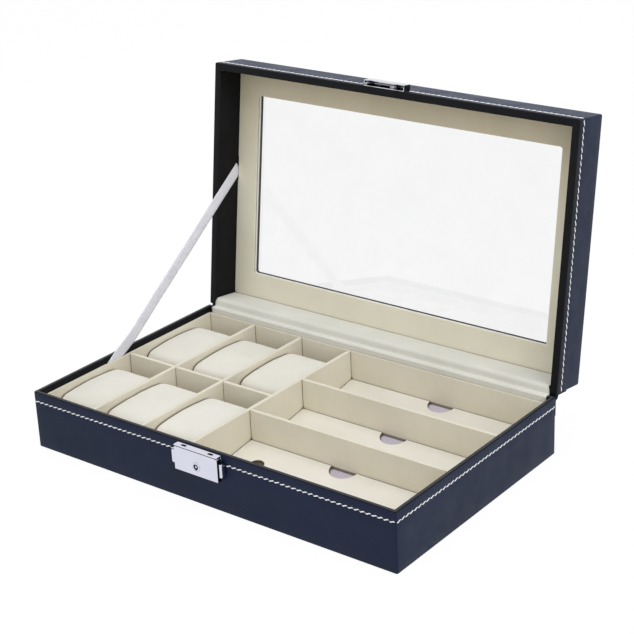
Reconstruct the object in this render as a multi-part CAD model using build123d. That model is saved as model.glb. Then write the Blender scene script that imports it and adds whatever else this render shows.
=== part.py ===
from build123d import *
import math
import os

# Watch and glasses case: a shallow leather-covered box, with a hinged lid that holds a window.
# Millimetres. X points right, the front faces -Y and Z is up, from the centre of the underside.
# The lid is drawn closed, then turned open about the hinge, where a ribbon holds it back.

# Outside of the case
CASE_WIDTH = 335.0
CASE_DEPTH = 203.4
BASE_HEIGHT = 47.0
LID_HEIGHT = 33.3
CLOSED_GAP = 0.8
OPEN_ANGLE = 97.5
CORNER_RADIUS = 1.2

# Boards and sheets
FELT = 0.8
FELT_INSET = 1.5
LEATHER = 0.7
LEATHER_TURN_IN = 15.0
CLOTH = 0.6
BOTTOM_BOARD = 2.5
BASE_BOARD = 1.9
LID_BOARD = 4.5
LID_TOP_BOARD = 0.8
LINER = 2.2
FLOOR_LINING = 1.3
DIVIDER = 3.0

# Clearances
SHEET_GAP = 0.05
FIT_GAP = 0.05
SLIP_GAP = 0.2
LIFT_GAP = 0.4
LATCH_GAP = 0.3
CAM_GAP = 0.4
OVERCUT = 1.0

# Watch places, in columns from the left and two rows
WATCH_COLUMNS = 3
WATCH_SLOT_WIDTH = 46.0
DIVIDER_BELOW_RIM = 5.0
ROW_DIVIDER_Y = -1.0
LAP_GAP = 0.1

# Watch pillows
PILLOW_SIDE_GAP = 0.3
PILLOW_SEAT_GAP = 0.3
PILLOW_BELOW_DIVIDER = 2.4
STRAP_GAP = 10.35
PILLOW_CORNER_RISE = 6.0
PILLOW_TOP_CROWN = 1.8
PILLOW_END_CROWN = 1.2
PILLOW_SIDE_DRAW = 1.8
PILLOW_DRAW_POWER = 10
PILLOW_STATIONS = (0.0, 0.55, 0.75, 0.85, 0.92, 0.97, 1.0)
HALF_TURN = 180.0

# Glasses places, from front to rear
GLASSES_DIVIDER_YS = (-28.0, 34.6)
GLASSES_PLACE_NAMES = ("front", "middle", "rear")
GLASSES_DEPTH = 24.1
GLASSES_FLOOR = 2.2
RISER_CARD = 1.2
RISER_GAP = 0.5
RISER_FRONT = 2.1
NOTCH_RADIUS = 11.0
NOTCH_FROM_LEFT = 86.4
FINGER_HOLE_RADIUS = 5.8
FINGER_HOLE_FROM_LEFT = 24.8
FINGER_HOLE_FROM_REAR = 24.5

# Lid window, in layers from the inside outwards
INNER_FRAME = 1.5
FRAME_GROOVE = 0.9
FRAME_GROOVE_SET_BACK = 2.0
PACKING_SET_BACK = 0.4
PACKING_UNDER_GLASS = 2.1
GLASS = 2.0
GLASS_OVERLAP = 6.0
WINDOW_FROM_SIDE = 19.9
WINDOW_FROM_FRONT = 20.7
WINDOW_CORNER = 2.0

# Soft hinge: cloth inside, a leather strip outside, which bulges where it folds
HINGE_CLOTH_TAIL = 16.0
HINGE_CLOTH_EDGE_RADIUS = 2.5
LEATHER_STRIP = 0.7
HINGE_LEATHER_TAIL = 16.0
HINGE_LEATHER_SIDE_INSET = 0.4
HINGE_BULGE = 3.3
HINGE_BULGE_INNER_BEND = 1.5
HINGE_BULGE_OUTER_BEND = 1.7
HINGE_BULGE_LID_BEND = 1.0

# Stay ribbon
RIBBON_WIDTH = 10.0
RIBBON = 0.3
RIBBON_BASE_Y = -17.0
RIBBON_LID_Y = -12.0
RIBBON_TAIL = 18.0
RIBBON_GROOVE = 0.5
RIBBON_GROOVE_MARGIN = 1.0

# Lock case on the base front. Heights are from its underside, depths out from the leather.
LOCK_WIDTH = 40.0
LOCK_HEIGHT = 19.3
LOCK_DEPTH = 5.4
LOCK_BELOW_RIM = 0.9
LOCK_BACK_PLATE = 1.0
LOCK_SHEET = 0.8
LOCK_SEAM = 0.45
LOCK_CORNER = 2.0
KEY_HEIGHT = 6.7
KEY_RADIUS = 3.25
KEY_SHOULDER = 0.75
KEY_SHOULDER_RIM = 0.75
KEY_PROUD = 0.2
KEY_RING = 0.5
KEY_PIN_RADIUS = 0.8
KEY_BORE_RADIUS = 2.2
KEYWAY_WIDTH = 1.1
KEYWAY_LENGTH = 2.8
KEY_BORE_FLOOR = 0.4
KEY_SPINDLE_RADIUS = 2.0
CAM_WIDTH = 2.0
CAM_SHEET = 0.9
LOCK_RIVET_X = 14.0
LOCK_RIVET_RADIUS = 0.9
RIVET_HEAD = 0.6
RIVET_HEAD_RIM = 0.4

# Latch slider inside the lock case
LATCH_TRAVEL = 2.2
SLIDER_SHEET = 1.0
SLIDER_TOP_BELOW_LOCK = 5.2
CATCH_BELOW_LOCK = 2.9
CATCH_BAR = 0.8
CATCH_BAR_WIDTH = 2.6
CATCH_BAR_REACH = 1.6
TAB_OUT = 3.2
TAB_BOTTOM = 3.9
TAB_TOP_BELOW_LOCK = 5.1
TAB_DEPTH = 3.1
TAB_CORNER = 1.2
LUG_WIDTH = 1.6
RAIL = 0.7
RAIL_REACH = 1.4
SPRING_SHEET = 0.3
SPRING_WIDTH = 1.6
SPRING_BENDS = 4
SPRING_BEND_RADIUS = 0.6
SPRING_HEIGHT = 4.5
SPRING_POST_X = -17.0

# Keeper on the lid front, with the hooks that drop into the lock case
KEEPER_WIDTH = 37.0
KEEPER_HEIGHT = 8.3
KEEPER_DEPTH = 4.8
KEEPER_SHEET = 0.7
HOOK_X = 12.4
HOOK_WIDTH = 4.3
HOOK_BARB = 0.7
HOOK_SHEET = 1.2
HOOK_OUT = 3.0
HOOK_TIP = 2.7
HOOK_SLANT_SHARE = 0.6
HOOK_SLOT_WIDTH = 4.6
HOOK_SLOT_DEPTH = 2.2
HOOK_PLATE_INSET = 0.8
HOOK_PLATE_HALF = 16.6
KEEPER_RIVET_X = 6.0

# Places worked out from the sizes above
HALF_WIDTH = CASE_WIDTH / 2
HALF_DEPTH = CASE_DEPTH / 2
BASE_WALL = 2 * LEATHER + BASE_BOARD
LID_WALL = 2 * LEATHER + LID_BOARD
BOARD_HALF_WIDTH = HALF_WIDTH - LEATHER
BOARD_HALF_DEPTH = HALF_DEPTH - LEATHER
INSIDE_HALF_WIDTH = HALF_WIDTH - BASE_WALL
INSIDE_HALF_DEPTH = HALF_DEPTH - BASE_WALL
ROOM_HALF_WIDTH = INSIDE_HALF_WIDTH - LINER
ROOM_HALF_DEPTH = INSIDE_HALF_DEPTH - LINER
BASE_BACK_BOARD = BASE_BOARD + LEATHER

BOARD_FLOOR_Z = FELT + BOTTOM_BOARD
LINING_TOP_Z = BOARD_FLOOR_Z + FLOOR_LINING
DIVIDER_TOP_Z = BASE_HEIGHT - DIVIDER_BELOW_RIM
BASE_BOARD_TOP_Z = BASE_HEIGHT - LEATHER

MAIN_DIVIDER_X = -ROOM_HALF_WIDTH + WATCH_COLUMNS * (WATCH_SLOT_WIDTH + DIVIDER) - DIVIDER / 2
GLASSES_LEFT_X = MAIN_DIVIDER_X + DIVIDER / 2
LAP_Z = (LINING_TOP_Z + DIVIDER_TOP_Z) / 2
GLASSES_FLOOR_TOP_Z = DIVIDER_TOP_Z - GLASSES_DEPTH
RISER_REAR_Z = GLASSES_FLOOR_TOP_Z - GLASSES_FLOOR
RISER_FRONT_Z = LINING_TOP_Z + RISER_FRONT

WATCH_ROWS = ((-ROOM_HALF_DEPTH, ROW_DIVIDER_Y - DIVIDER / 2),
              (ROW_DIVIDER_Y + DIVIDER / 2, ROOM_HALF_DEPTH))
SHORTEST_ROW = min(rear - front for front, rear in WATCH_ROWS)
PILLOW_HALF_LENGTH = SHORTEST_ROW / 2 - STRAP_GAP
PILLOW_HALF_WIDTH = WATCH_SLOT_WIDTH / 2 - PILLOW_SIDE_GAP
PILLOW_BOTTOM_Z = LINING_TOP_Z + PILLOW_SEAT_GAP
PILLOW_HALF_HEIGHT = (DIVIDER_TOP_Z - PILLOW_BELOW_DIVIDER - PILLOW_BOTTOM_Z) / 2
PILLOW_CENTRE_Z = PILLOW_BOTTOM_Z + PILLOW_HALF_HEIGHT

HINGE_Y = HALF_DEPTH + SHEET_GAP + LEATHER_STRIP / 2
HINGE_Z = BASE_HEIGHT + CLOSED_GAP / 2

LID_RIM_Z = BASE_HEIGHT + CLOSED_GAP
LID_TOP_Z = LID_RIM_Z + LID_HEIGHT
LID_ROOM_HALF_WIDTH = HALF_WIDTH - LID_WALL
LID_ROOM_HALF_DEPTH = HALF_DEPTH - LID_WALL
WINDOW_WIDTH = 2 * (LID_ROOM_HALF_WIDTH - WINDOW_FROM_SIDE)
WINDOW_DEPTH = 2 * (LID_ROOM_HALF_DEPTH - WINDOW_FROM_FRONT)
LID_BOARD_INSIDE_X = BOARD_HALF_WIDTH - LID_BOARD
LID_BOARD_INSIDE_Y = BOARD_HALF_DEPTH - LID_BOARD
LID_BOARD_TOP_Z = LID_TOP_Z - LEATHER
LID_TOP_BOARD_Z = LID_BOARD_TOP_Z - LID_TOP_BOARD
GLASS_Z = LID_TOP_BOARD_Z - GLASS
PACKING_Z = GLASS_Z - PACKING_UNDER_GLASS - FRAME_GROOVE
FRAME_Z = PACKING_Z - INNER_FRAME

FRONT_Y = -HALF_DEPTH
LOCK_TOP_Z = BASE_HEIGHT - LOCK_BELOW_RIM
LOCK_BOTTOM_Z = LOCK_TOP_Z - LOCK_HEIGHT
LOCK_HALF = LOCK_WIDTH / 2
KEY_Z = LOCK_BOTTOM_Z + KEY_HEIGHT
SLIDER_OUT = LOCK_BACK_PLATE + SLIP_GAP
SLIDER_FACE_OUT = SLIDER_OUT + SLIDER_SHEET
CAM_REACH = KEY_HEIGHT - LOCK_SHEET - CAM_GAP
LUG_X = CAM_REACH + LATCH_GAP
SPRING_LUG_X = -CAM_REACH - LATCH_TRAVEL - LATCH_GAP
RAIL_END = LOCK_HALF - LATCH_TRAVEL - LATCH_GAP - LOCK_SHEET
SLIDER_TOP_Z = LOCK_TOP_Z - SLIDER_TOP_BELOW_LOCK
SLIDER_BOTTOM_Z = KEY_Z + KEY_RADIUS + SLIP_GAP
CATCH_TOP_Z = LOCK_TOP_Z - CATCH_BELOW_LOCK
CATCH_Z = CATCH_TOP_Z - CATCH_BAR
BARB_TOP_Z = CATCH_Z - SLIP_GAP
HOOK_TIP_Z = BARB_TOP_Z - HOOK_TIP
HOOK_BACK_OUT = HOOK_OUT - HOOK_SHEET / 2
COVER_INSIDE_OUT = LOCK_DEPTH - LOCK_SHEET
TAB_BOTTOM_Z = LOCK_BOTTOM_Z + TAB_BOTTOM
TAB_TOP_Z = LOCK_TOP_Z - TAB_TOP_BELOW_LOCK
KEEPER_TOP_Z = LID_RIM_Z + KEEPER_HEIGHT
KEEPER_HALF = KEEPER_WIDTH / 2


def block(x0, x1, y0, y1, z0, z1):
    """A box between two opposite corners."""
    centre = Pos((x0 + x1) / 2, (y0 + y1) / 2, (z0 + z1) / 2)
    return centre * Box(x1 - x0, y1 - y0, z1 - z0)


def wedge(x0, x1, y0, y1, bottom, top):
    """A block with a sloped underside and top, each given by its heights at y0 and y1."""
    outline = Polyline((y0, bottom[0]), (y1, bottom[1]), (y1, top[1]), (y0, top[0]), close=True)
    return Pos(x0, 0, 0) * extrude(Plane.YZ * make_face(outline), x1 - x0)


def front_block(x0, x1, out0, out1, z0, z1):
    """A box on the case front, between two depths measured out from the leather."""
    return block(x0, x1, FRONT_Y - out1, FRONT_Y - out0, z0, z1)


def front_plate(face, out, thickness):
    """A flat plate on the case front, from a face drawn in X and Z."""
    return Pos(0, FRONT_Y - out, 0) * extrude(Plane.XZ * face, thickness)


def front_pin(x, z, out0, out1, radius):
    """A round pin square to the case front."""
    return Pos(x, FRONT_Y - (out0 + out1) / 2, z) * Rot(90, 0, 0) * Cylinder(radius, out1 - out0)


def window_block(grow, z0, z1):
    """The window's outline, grown all round, as a block."""
    outline = RectangleRounded(WINDOW_WIDTH + 2 * grow, WINDOW_DEPTH + 2 * grow, WINDOW_CORNER + grow)
    return Pos(0, 0, z0) * extrude(outline, z1 - z0)


def cased_block(z0, z1):
    """The outside of the case with its rounded upright corners."""
    return Pos(0, 0, z0) * extrude(RectangleRounded(CASE_WIDTH, CASE_DEPTH, CORNER_RADIUS), z1 - z0)


def opened(piece):
    """A lid piece drawn closed, turned open about the hinge."""
    return piece.rotate(Axis((0, HINGE_Y, HINGE_Z), (1, 0, 0)), -OPEN_ANGLE)


def opened_point(y, z):
    """Where a point of the closed lid lies with the lid open."""
    angle = math.radians(OPEN_ANGLE)
    back = y - HINGE_Y
    up = z - HINGE_Z
    open_y = HINGE_Y + back * math.cos(angle) + up * math.sin(angle)
    open_z = HINGE_Z - back * math.sin(angle) + up * math.cos(angle)
    return open_y, open_z


def save(name, piece):
    export_step(piece, os.path.join("parts", name + ".step"))


# Base shell

def base_felt():
    half_x = HALF_WIDTH - FELT_INSET
    half_y = HALF_DEPTH - FELT_INSET
    return block(-half_x, half_x, -half_y, half_y, 0, FELT)


def base_bottom_board():
    return block(-BOARD_HALF_WIDTH, BOARD_HALF_WIDTH, -BOARD_HALF_DEPTH, BOARD_HALF_DEPTH,
                 FELT, BOARD_FLOOR_Z)


def base_front_board():
    board = block(-BOARD_HALF_WIDTH, BOARD_HALF_WIDTH, -BOARD_HALF_DEPTH, -BOARD_HALF_DEPTH + BASE_BOARD,
                  BOARD_FLOOR_Z, BASE_BOARD_TOP_Z)
    return board - lock_rivet_shanks(LOCK_RIVET_RADIUS + FIT_GAP)


def base_back_board():
    return block(-BOARD_HALF_WIDTH, BOARD_HALF_WIDTH, BOARD_HALF_DEPTH - BASE_BACK_BOARD, BOARD_HALF_DEPTH,
                 BOARD_FLOOR_Z, BASE_BOARD_TOP_Z)


def base_side_board(side):
    inner = side * (BOARD_HALF_WIDTH - BASE_BOARD)
    outer = side * BOARD_HALF_WIDTH
    return block(min(inner, outer), max(inner, outer), -BOARD_HALF_DEPTH + BASE_BOARD,
                 BOARD_HALF_DEPTH - BASE_BACK_BOARD, BOARD_FLOOR_Z, BASE_BOARD_TOP_Z)


def base_leather():
    """Leather over the outside and the rim, turned in at the front and the sides."""
    turn_z = BASE_HEIGHT - LEATHER_TURN_IN
    skin = cased_block(FELT, BASE_HEIGHT)
    skin -= block(-BOARD_HALF_WIDTH, BOARD_HALF_WIDTH, -BOARD_HALF_DEPTH, BOARD_HALF_DEPTH,
                  FELT - OVERCUT, BASE_BOARD_TOP_Z)
    skin -= block(-INSIDE_HALF_WIDTH, INSIDE_HALF_WIDTH, -INSIDE_HALF_DEPTH,
                  BOARD_HALF_DEPTH - BASE_BACK_BOARD, FELT - OVERCUT, BASE_HEIGHT + OVERCUT)
    skin += block(-INSIDE_HALF_WIDTH - LEATHER, INSIDE_HALF_WIDTH + LEATHER, -INSIDE_HALF_DEPTH - LEATHER,
                  -INSIDE_HALF_DEPTH, turn_z, BASE_BOARD_TOP_Z)
    for side in (-1, 1):
        inner = side * INSIDE_HALF_WIDTH
        outer = side * (INSIDE_HALF_WIDTH + LEATHER)
        skin += block(min(inner, outer), max(inner, outer), -INSIDE_HALF_DEPTH,
                      BOARD_HALF_DEPTH - BASE_BACK_BOARD, turn_z, BASE_BOARD_TOP_Z)
    skin -= block(-ROOM_HALF_WIDTH, ROOM_HALF_WIDTH, BOARD_HALF_DEPTH - BASE_BACK_BOARD,
                  HALF_DEPTH + OVERCUT, BASE_BOARD_TOP_Z, BASE_HEIGHT + OVERCUT)
    return skin - lock_rivet_shanks(LOCK_RIVET_RADIUS + FIT_GAP)


# Cream lining and dividers

def liner_end(side):
    """A liner board across the front or the back. The back one leaves room for the hinge cloth."""
    inner = side * ROOM_HALF_DEPTH
    outer = side * (INSIDE_HALF_DEPTH - (CLOTH + 2 * SHEET_GAP if side > 0 else 0))
    return block(-INSIDE_HALF_WIDTH, INSIDE_HALF_WIDTH, min(inner, outer), max(inner, outer),
                 BOARD_FLOOR_Z, DIVIDER_TOP_Z)


def liner_side(side):
    inner = side * ROOM_HALF_WIDTH
    outer = side * INSIDE_HALF_WIDTH
    liner = block(min(inner, outer), max(inner, outer), -ROOM_HALF_DEPTH, ROOM_HALF_DEPTH,
                  BOARD_FLOOR_Z, DIVIDER_TOP_Z)
    if side < 0:
        liner -= ribbon_groove_in_liner()
    return liner


def ribbon_groove_in_liner():
    """The groove in the left liner that the ribbon's tail is glued into."""
    half = RIBBON_WIDTH / 2 + RIBBON_GROOVE_MARGIN
    along = Rectangle(2 * (RIBBON_TAIL + RIBBON_WIDTH), 2 * half)
    groove = Plane.YZ * (Pos(*ribbon_base_point()) * Rot(0, 0, ribbon_slope()) * along)
    return Pos(-INSIDE_HALF_WIDTH, 0, 0) * extrude(groove, RIBBON_GROOVE)


def floor_lining():
    return block(-ROOM_HALF_WIDTH, ROOM_HALF_WIDTH, -ROOM_HALF_DEPTH, ROOM_HALF_DEPTH,
                 BOARD_FLOOR_Z, LINING_TOP_Z)


def main_divider():
    return block(MAIN_DIVIDER_X - DIVIDER / 2, MAIN_DIVIDER_X + DIVIDER / 2,
                 -ROOM_HALF_DEPTH, ROOM_HALF_DEPTH, LINING_TOP_Z, DIVIDER_TOP_Z)


def column_divider_x(index):
    """The middle of the divider at the right of a watch column."""
    return -ROOM_HALF_WIDTH + index * (WATCH_SLOT_WIDTH + DIVIDER) - DIVIDER / 2


def row_divider():
    """The divider between the two watch rows, slotted from above for the column dividers."""
    divider = block(-ROOM_HALF_WIDTH, MAIN_DIVIDER_X - DIVIDER / 2, ROW_DIVIDER_Y - DIVIDER / 2,
                    ROW_DIVIDER_Y + DIVIDER / 2, LINING_TOP_Z, DIVIDER_TOP_Z)
    for index in range(1, WATCH_COLUMNS):
        x = column_divider_x(index)
        half = DIVIDER / 2 + LAP_GAP
        divider -= block(x - half, x + half, ROW_DIVIDER_Y - DIVIDER, ROW_DIVIDER_Y + DIVIDER,
                         LAP_Z, DIVIDER_TOP_Z + OVERCUT)
    return divider


def column_divider(index):
    """A divider between watch columns, slotted from below over the row divider."""
    x = column_divider_x(index)
    half = DIVIDER / 2 + LAP_GAP
    divider = block(x - DIVIDER / 2, x + DIVIDER / 2, -ROOM_HALF_DEPTH, ROOM_HALF_DEPTH,
                    LINING_TOP_Z, DIVIDER_TOP_Z)
    return divider - block(x - DIVIDER, x + DIVIDER, ROW_DIVIDER_Y - half, ROW_DIVIDER_Y + half,
                           LINING_TOP_Z - OVERCUT, LAP_Z)


def glasses_divider(y):
    return block(GLASSES_LEFT_X, ROOM_HALF_WIDTH, y - DIVIDER / 2, y + DIVIDER / 2,
                 LINING_TOP_Z, DIVIDER_TOP_Z)


def glasses_place_walls():
    """The front and rear walls of each glasses place."""
    edges = [-ROOM_HALF_DEPTH]
    for y in GLASSES_DIVIDER_YS:
        edges.append(y - DIVIDER / 2)
        edges.append(y + DIVIDER / 2)
    edges.append(ROOM_HALF_DEPTH)
    return list(zip(edges[0::2], edges[1::2]))


def slope_heights(y0, y1, front_y, rear_y, above):
    """Heights at y0 and y1 over the slope of a glasses place, which rises from front to rear."""
    rise = (RISER_REAR_Z - RISER_FRONT_Z) / (rear_y - front_y)
    return [RISER_FRONT_Z + rise * (y - front_y) + above for y in (y0, y1)]


def glasses_riser(front_y, rear_y):
    """A folded card tray, upside down, that carries a glasses floor on its sloped top."""
    x0 = GLASSES_LEFT_X + RISER_GAP
    x1 = ROOM_HALF_WIDTH - RISER_GAP
    y0 = front_y + RISER_GAP
    y1 = rear_y - RISER_GAP
    card = RISER_CARD
    top = slope_heights(y0, y1, front_y, rear_y, 0)
    hollow_top = slope_heights(y0 + card, y1 - card, front_y, rear_y, -card)
    below = LINING_TOP_Z - OVERCUT
    tray = wedge(x0, x1, y0, y1, (LINING_TOP_Z, LINING_TOP_Z), top)
    return tray - wedge(x0 + card, x1 - card, y0 + card, y1 - card, (below, below), hollow_top)


def glasses_floor(front_y, rear_y, with_finger_hole):
    """A sloped lift-out floor with a half-moon finger notch at its rear edge."""
    y0 = front_y + LIFT_GAP
    y1 = rear_y - LIFT_GAP
    panel = wedge(GLASSES_LEFT_X + LIFT_GAP, ROOM_HALF_WIDTH - LIFT_GAP, y0, y1,
                  slope_heights(y0, y1, front_y, rear_y, 0),
                  slope_heights(y0, y1, front_y, rear_y, GLASSES_FLOOR))
    cut = 2 * DIVIDER_TOP_Z
    panel -= Pos(GLASSES_LEFT_X + NOTCH_FROM_LEFT, y1, 0) * Cylinder(NOTCH_RADIUS, cut)
    if with_finger_hole:
        place = Pos(GLASSES_LEFT_X + FINGER_HOLE_FROM_LEFT, rear_y - FINGER_HOLE_FROM_REAR, 0)
        panel -= place * Cylinder(FINGER_HOLE_RADIUS, cut)
    return panel


# Watch pillows

def pillow_section(draw):
    """A pillow's outline seen from its side: four crowned sides joined by four round corners."""
    a = PILLOW_HALF_LENGTH - draw
    b = PILLOW_HALF_HEIGHT - draw
    radius = b - PILLOW_TOP_CROWN - PILLOW_CORNER_RISE
    corner_x = a - radius - PILLOW_END_CROWN
    corner_y = PILLOW_CORNER_RISE
    end_shift = (corner_x ** 2 + corner_y ** 2 - (a - radius) ** 2) / (2 * PILLOW_END_CROWN)
    top_shift = (corner_x ** 2 + corner_y ** 2 - (b - radius) ** 2) / (2 * PILLOW_TOP_CROWN)
    low = math.degrees(math.atan2(corner_y, corner_x + end_shift))
    high = math.degrees(math.atan2(corner_y + top_shift, corner_x))
    corner = high - low
    arcs = [
        CenterArc((-end_shift, 0), a + end_shift, -low, 2 * low),
        CenterArc((corner_x, corner_y), radius, low, corner),
        CenterArc((0, -top_shift), b + top_shift, high, HALF_TURN - 2 * high),
        CenterArc((-corner_x, corner_y), radius, HALF_TURN - high, corner),
        CenterArc((end_shift, 0), a + end_shift, HALF_TURN - low, 2 * low),
        CenterArc((-corner_x, -corner_y), radius, HALF_TURN + low, corner),
        CenterArc((0, top_shift), b + top_shift, HALF_TURN + high, HALF_TURN - 2 * high),
        CenterArc((corner_x, -corner_y), radius, -high, corner),
    ]
    return make_face(arcs)


def watch_pillow(x, y):
    """A stuffed pillow, full across its middle and drawn in at the seams of its two end panels."""
    shares = [-share for share in reversed(PILLOW_STATIONS[1:])] + list(PILLOW_STATIONS)
    sections = []
    for share in shares:
        draw = PILLOW_SIDE_DRAW * abs(share) ** PILLOW_DRAW_POWER
        sections.append(Plane.YZ.offset(share * PILLOW_HALF_WIDTH) * pillow_section(draw))
    return Pos(x, y, PILLOW_CENTRE_Z) * loft(sections, ruled=True)


# Lid shell

def lid_end_board(side):
    inner = side * LID_BOARD_INSIDE_Y
    outer = side * BOARD_HALF_DEPTH
    return block(-BOARD_HALF_WIDTH, BOARD_HALF_WIDTH, min(inner, outer), max(inner, outer),
                 LID_RIM_Z + LEATHER, LID_TOP_BOARD_Z)


def lid_front_board():
    return lid_end_board(-1) - keeper_rivet_shanks(LOCK_RIVET_RADIUS + FIT_GAP)


def lid_back_board():
    """The back board, rounded where the hinge cloth turns over its inner rim edge."""
    board = lid_end_board(1)
    at_rim = board.edges().filter_by(Axis.X).sort_by(Axis.Z)[:2]
    return fillet(at_rim.sort_by(Axis.Y)[0], HINGE_CLOTH_EDGE_RADIUS)


def lid_side_board(side):
    inner = side * LID_BOARD_INSIDE_X
    outer = side * BOARD_HALF_WIDTH
    return block(min(inner, outer), max(inner, outer), -LID_BOARD_INSIDE_Y, LID_BOARD_INSIDE_Y,
                 LID_RIM_Z + LEATHER, LID_TOP_BOARD_Z)


def lid_top_board():
    board = block(-BOARD_HALF_WIDTH, BOARD_HALF_WIDTH, -BOARD_HALF_DEPTH, BOARD_HALF_DEPTH,
                  LID_TOP_BOARD_Z, LID_BOARD_TOP_Z)
    return board - window_block(LEATHER, LID_TOP_BOARD_Z - OVERCUT, LID_BOARD_TOP_Z + OVERCUT)


def lid_leather():
    """Leather over the outside, the rim, the inner walls and the edge of the window opening."""
    skin = cased_block(LID_RIM_Z, LID_TOP_Z)
    skin -= block(-BOARD_HALF_WIDTH, BOARD_HALF_WIDTH, -BOARD_HALF_DEPTH, BOARD_HALF_DEPTH,
                  LID_RIM_Z + LEATHER, LID_BOARD_TOP_Z)
    skin -= block(-LID_ROOM_HALF_WIDTH, LID_ROOM_HALF_WIDTH, -LID_ROOM_HALF_DEPTH, LID_BOARD_INSIDE_Y,
                  LID_RIM_Z - OVERCUT, LID_RIM_Z + 2 * LEATHER)
    skin += block(-LID_BOARD_INSIDE_X, LID_BOARD_INSIDE_X, -LID_BOARD_INSIDE_Y, -LID_ROOM_HALF_DEPTH,
                  LID_RIM_Z, PACKING_Z)
    for side in (-1, 1):
        inner = side * LID_ROOM_HALF_WIDTH
        outer = side * LID_BOARD_INSIDE_X
        skin += block(min(inner, outer), max(inner, outer), -LID_ROOM_HALF_DEPTH, LID_BOARD_INSIDE_Y,
                      LID_RIM_Z, PACKING_Z)
    skin += window_block(LEATHER, LID_TOP_BOARD_Z, LID_TOP_Z)
    skin -= window_block(0, LID_TOP_BOARD_Z - OVERCUT, LID_TOP_Z + OVERCUT)
    skin -= block(-LID_ROOM_HALF_WIDTH, LID_ROOM_HALF_WIDTH, LID_BOARD_INSIDE_Y, HALF_DEPTH + OVERCUT,
                  LID_RIM_Z - OVERCUT, LID_RIM_Z + LEATHER)
    return skin - keeper_rivet_shanks(LOCK_RIVET_RADIUS + FIT_GAP)


# Window

def inner_frame():
    """The cream frame round the window, notched for the end of the ribbon."""
    half_x = LID_ROOM_HALF_WIDTH - SLIP_GAP
    frame = block(-half_x, half_x, -LID_ROOM_HALF_DEPTH + SLIP_GAP, LID_BOARD_INSIDE_Y - SLIP_GAP,
                  FRAME_Z, PACKING_Z)
    frame -= window_block(0, FRAME_Z - OVERCUT, PACKING_Z + OVERCUT)
    angle = math.radians(OPEN_ANGLE - 90 + ribbon_slope())
    half = (RIBBON_WIDTH / 2 + RIBBON_GROOVE_MARGIN) / math.cos(angle) + INNER_FRAME
    notch = block(-half_x - OVERCUT, -half_x + RIBBON_GROOVE, RIBBON_LID_Y - half, RIBBON_LID_Y + half,
                  FRAME_Z - OVERCUT, PACKING_Z + OVERCUT)
    return frame - notch


def packing_frame():
    """The frame that the glass lies in, with a shadow groove along the inner frame."""
    groove_z = PACKING_Z + FRAME_GROOVE
    frame = block(-LID_BOARD_INSIDE_X, LID_BOARD_INSIDE_X, -LID_BOARD_INSIDE_Y, LID_BOARD_INSIDE_Y,
                  PACKING_Z, LID_TOP_BOARD_Z)
    frame -= window_block(FRAME_GROOVE_SET_BACK, PACKING_Z - OVERCUT, groove_z)
    frame -= window_block(PACKING_SET_BACK, groove_z - OVERCUT, LID_TOP_BOARD_Z + OVERCUT)
    half_x = WINDOW_WIDTH / 2 + GLASS_OVERLAP + SLIP_GAP
    half_y = WINDOW_DEPTH / 2 + GLASS_OVERLAP + SLIP_GAP
    return frame - block(-half_x, half_x, -half_y, half_y, GLASS_Z, LID_TOP_BOARD_Z + OVERCUT)


def glass_pane():
    half_x = WINDOW_WIDTH / 2 + GLASS_OVERLAP
    half_y = WINDOW_DEPTH / 2 + GLASS_OVERLAP
    return block(-half_x, half_x, -half_y, half_y, GLASS_Z, LID_TOP_BOARD_Z)


# Hinge sheets, bent as the open lid bends them

def sheet_across(points, radii, thickness, half):
    """A sheet along the hinge, bent through points given in Y and Z."""
    path = FilletPolyline(*points, radius=radii)
    section = trace(path, line_width=thickness)
    return Pos(-half, 0, 0) * extrude(Plane.YZ * section, 2 * half)


def hinge_cloth():
    """Cream cloth from behind the back liner, over both rims, to the inner frame."""
    middle = CLOTH / 2 + SHEET_GAP
    wall_y = BOARD_HALF_DEPTH - BASE_BACK_BOARD - middle
    rim_z = BASE_BOARD_TOP_Z + middle
    lid_rim_z = LID_RIM_Z + LEATHER - middle
    lid_wall_y = LID_BOARD_INSIDE_Y - middle
    crease_y, crease_z = opened_point(HINGE_Y, lid_rim_z)
    lid_edge = opened_point(lid_wall_y, lid_rim_z)
    lean = (lid_edge[0] - crease_y) / (lid_edge[1] - crease_z)
    crease = (crease_y + lean * (rim_z - crease_z), rim_z)
    points = ((wall_y, rim_z - HINGE_CLOTH_TAIL), (wall_y, rim_z), crease, lid_edge,
              opened_point(lid_wall_y, FRAME_Z - SHEET_GAP))
    half = min(ROOM_HALF_WIDTH, LID_ROOM_HALF_WIDTH) - SLIP_GAP
    return sheet_across(points, [middle, CLOTH, HINGE_CLOTH_EDGE_RADIUS + middle], CLOTH, half)


def hinge_leather():
    """Leather strip outside the back, glued to base and lid, with a bulge along the fold."""
    bulge_y = HINGE_Y + HINGE_BULGE
    bulge_z = HINGE_Z - HINGE_BULGE
    lid_far = opened_point(HINGE_Y, HINGE_Z + HINGE_LEATHER_TAIL)
    fall = (lid_far[1] - HINGE_Z) / (lid_far[0] - HINGE_Y)
    points = ((HINGE_Y, HINGE_Z - HINGE_LEATHER_TAIL), (HINGE_Y, bulge_z), (bulge_y, bulge_z),
              (bulge_y, HINGE_Z + fall * HINGE_BULGE), lid_far)
    bends = [HINGE_BULGE_INNER_BEND, HINGE_BULGE_OUTER_BEND, HINGE_BULGE_LID_BEND]
    return sheet_across(points, bends, LEATHER_STRIP, HALF_WIDTH - HINGE_LEATHER_SIDE_INSET)


# Stay ribbon, pulled straight between the base and the lid

def ribbon_base_point():
    return RIBBON_BASE_Y, DIVIDER_TOP_Z


def ribbon_lid_point():
    return opened_point(RIBBON_LID_Y, FRAME_Z)


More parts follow.
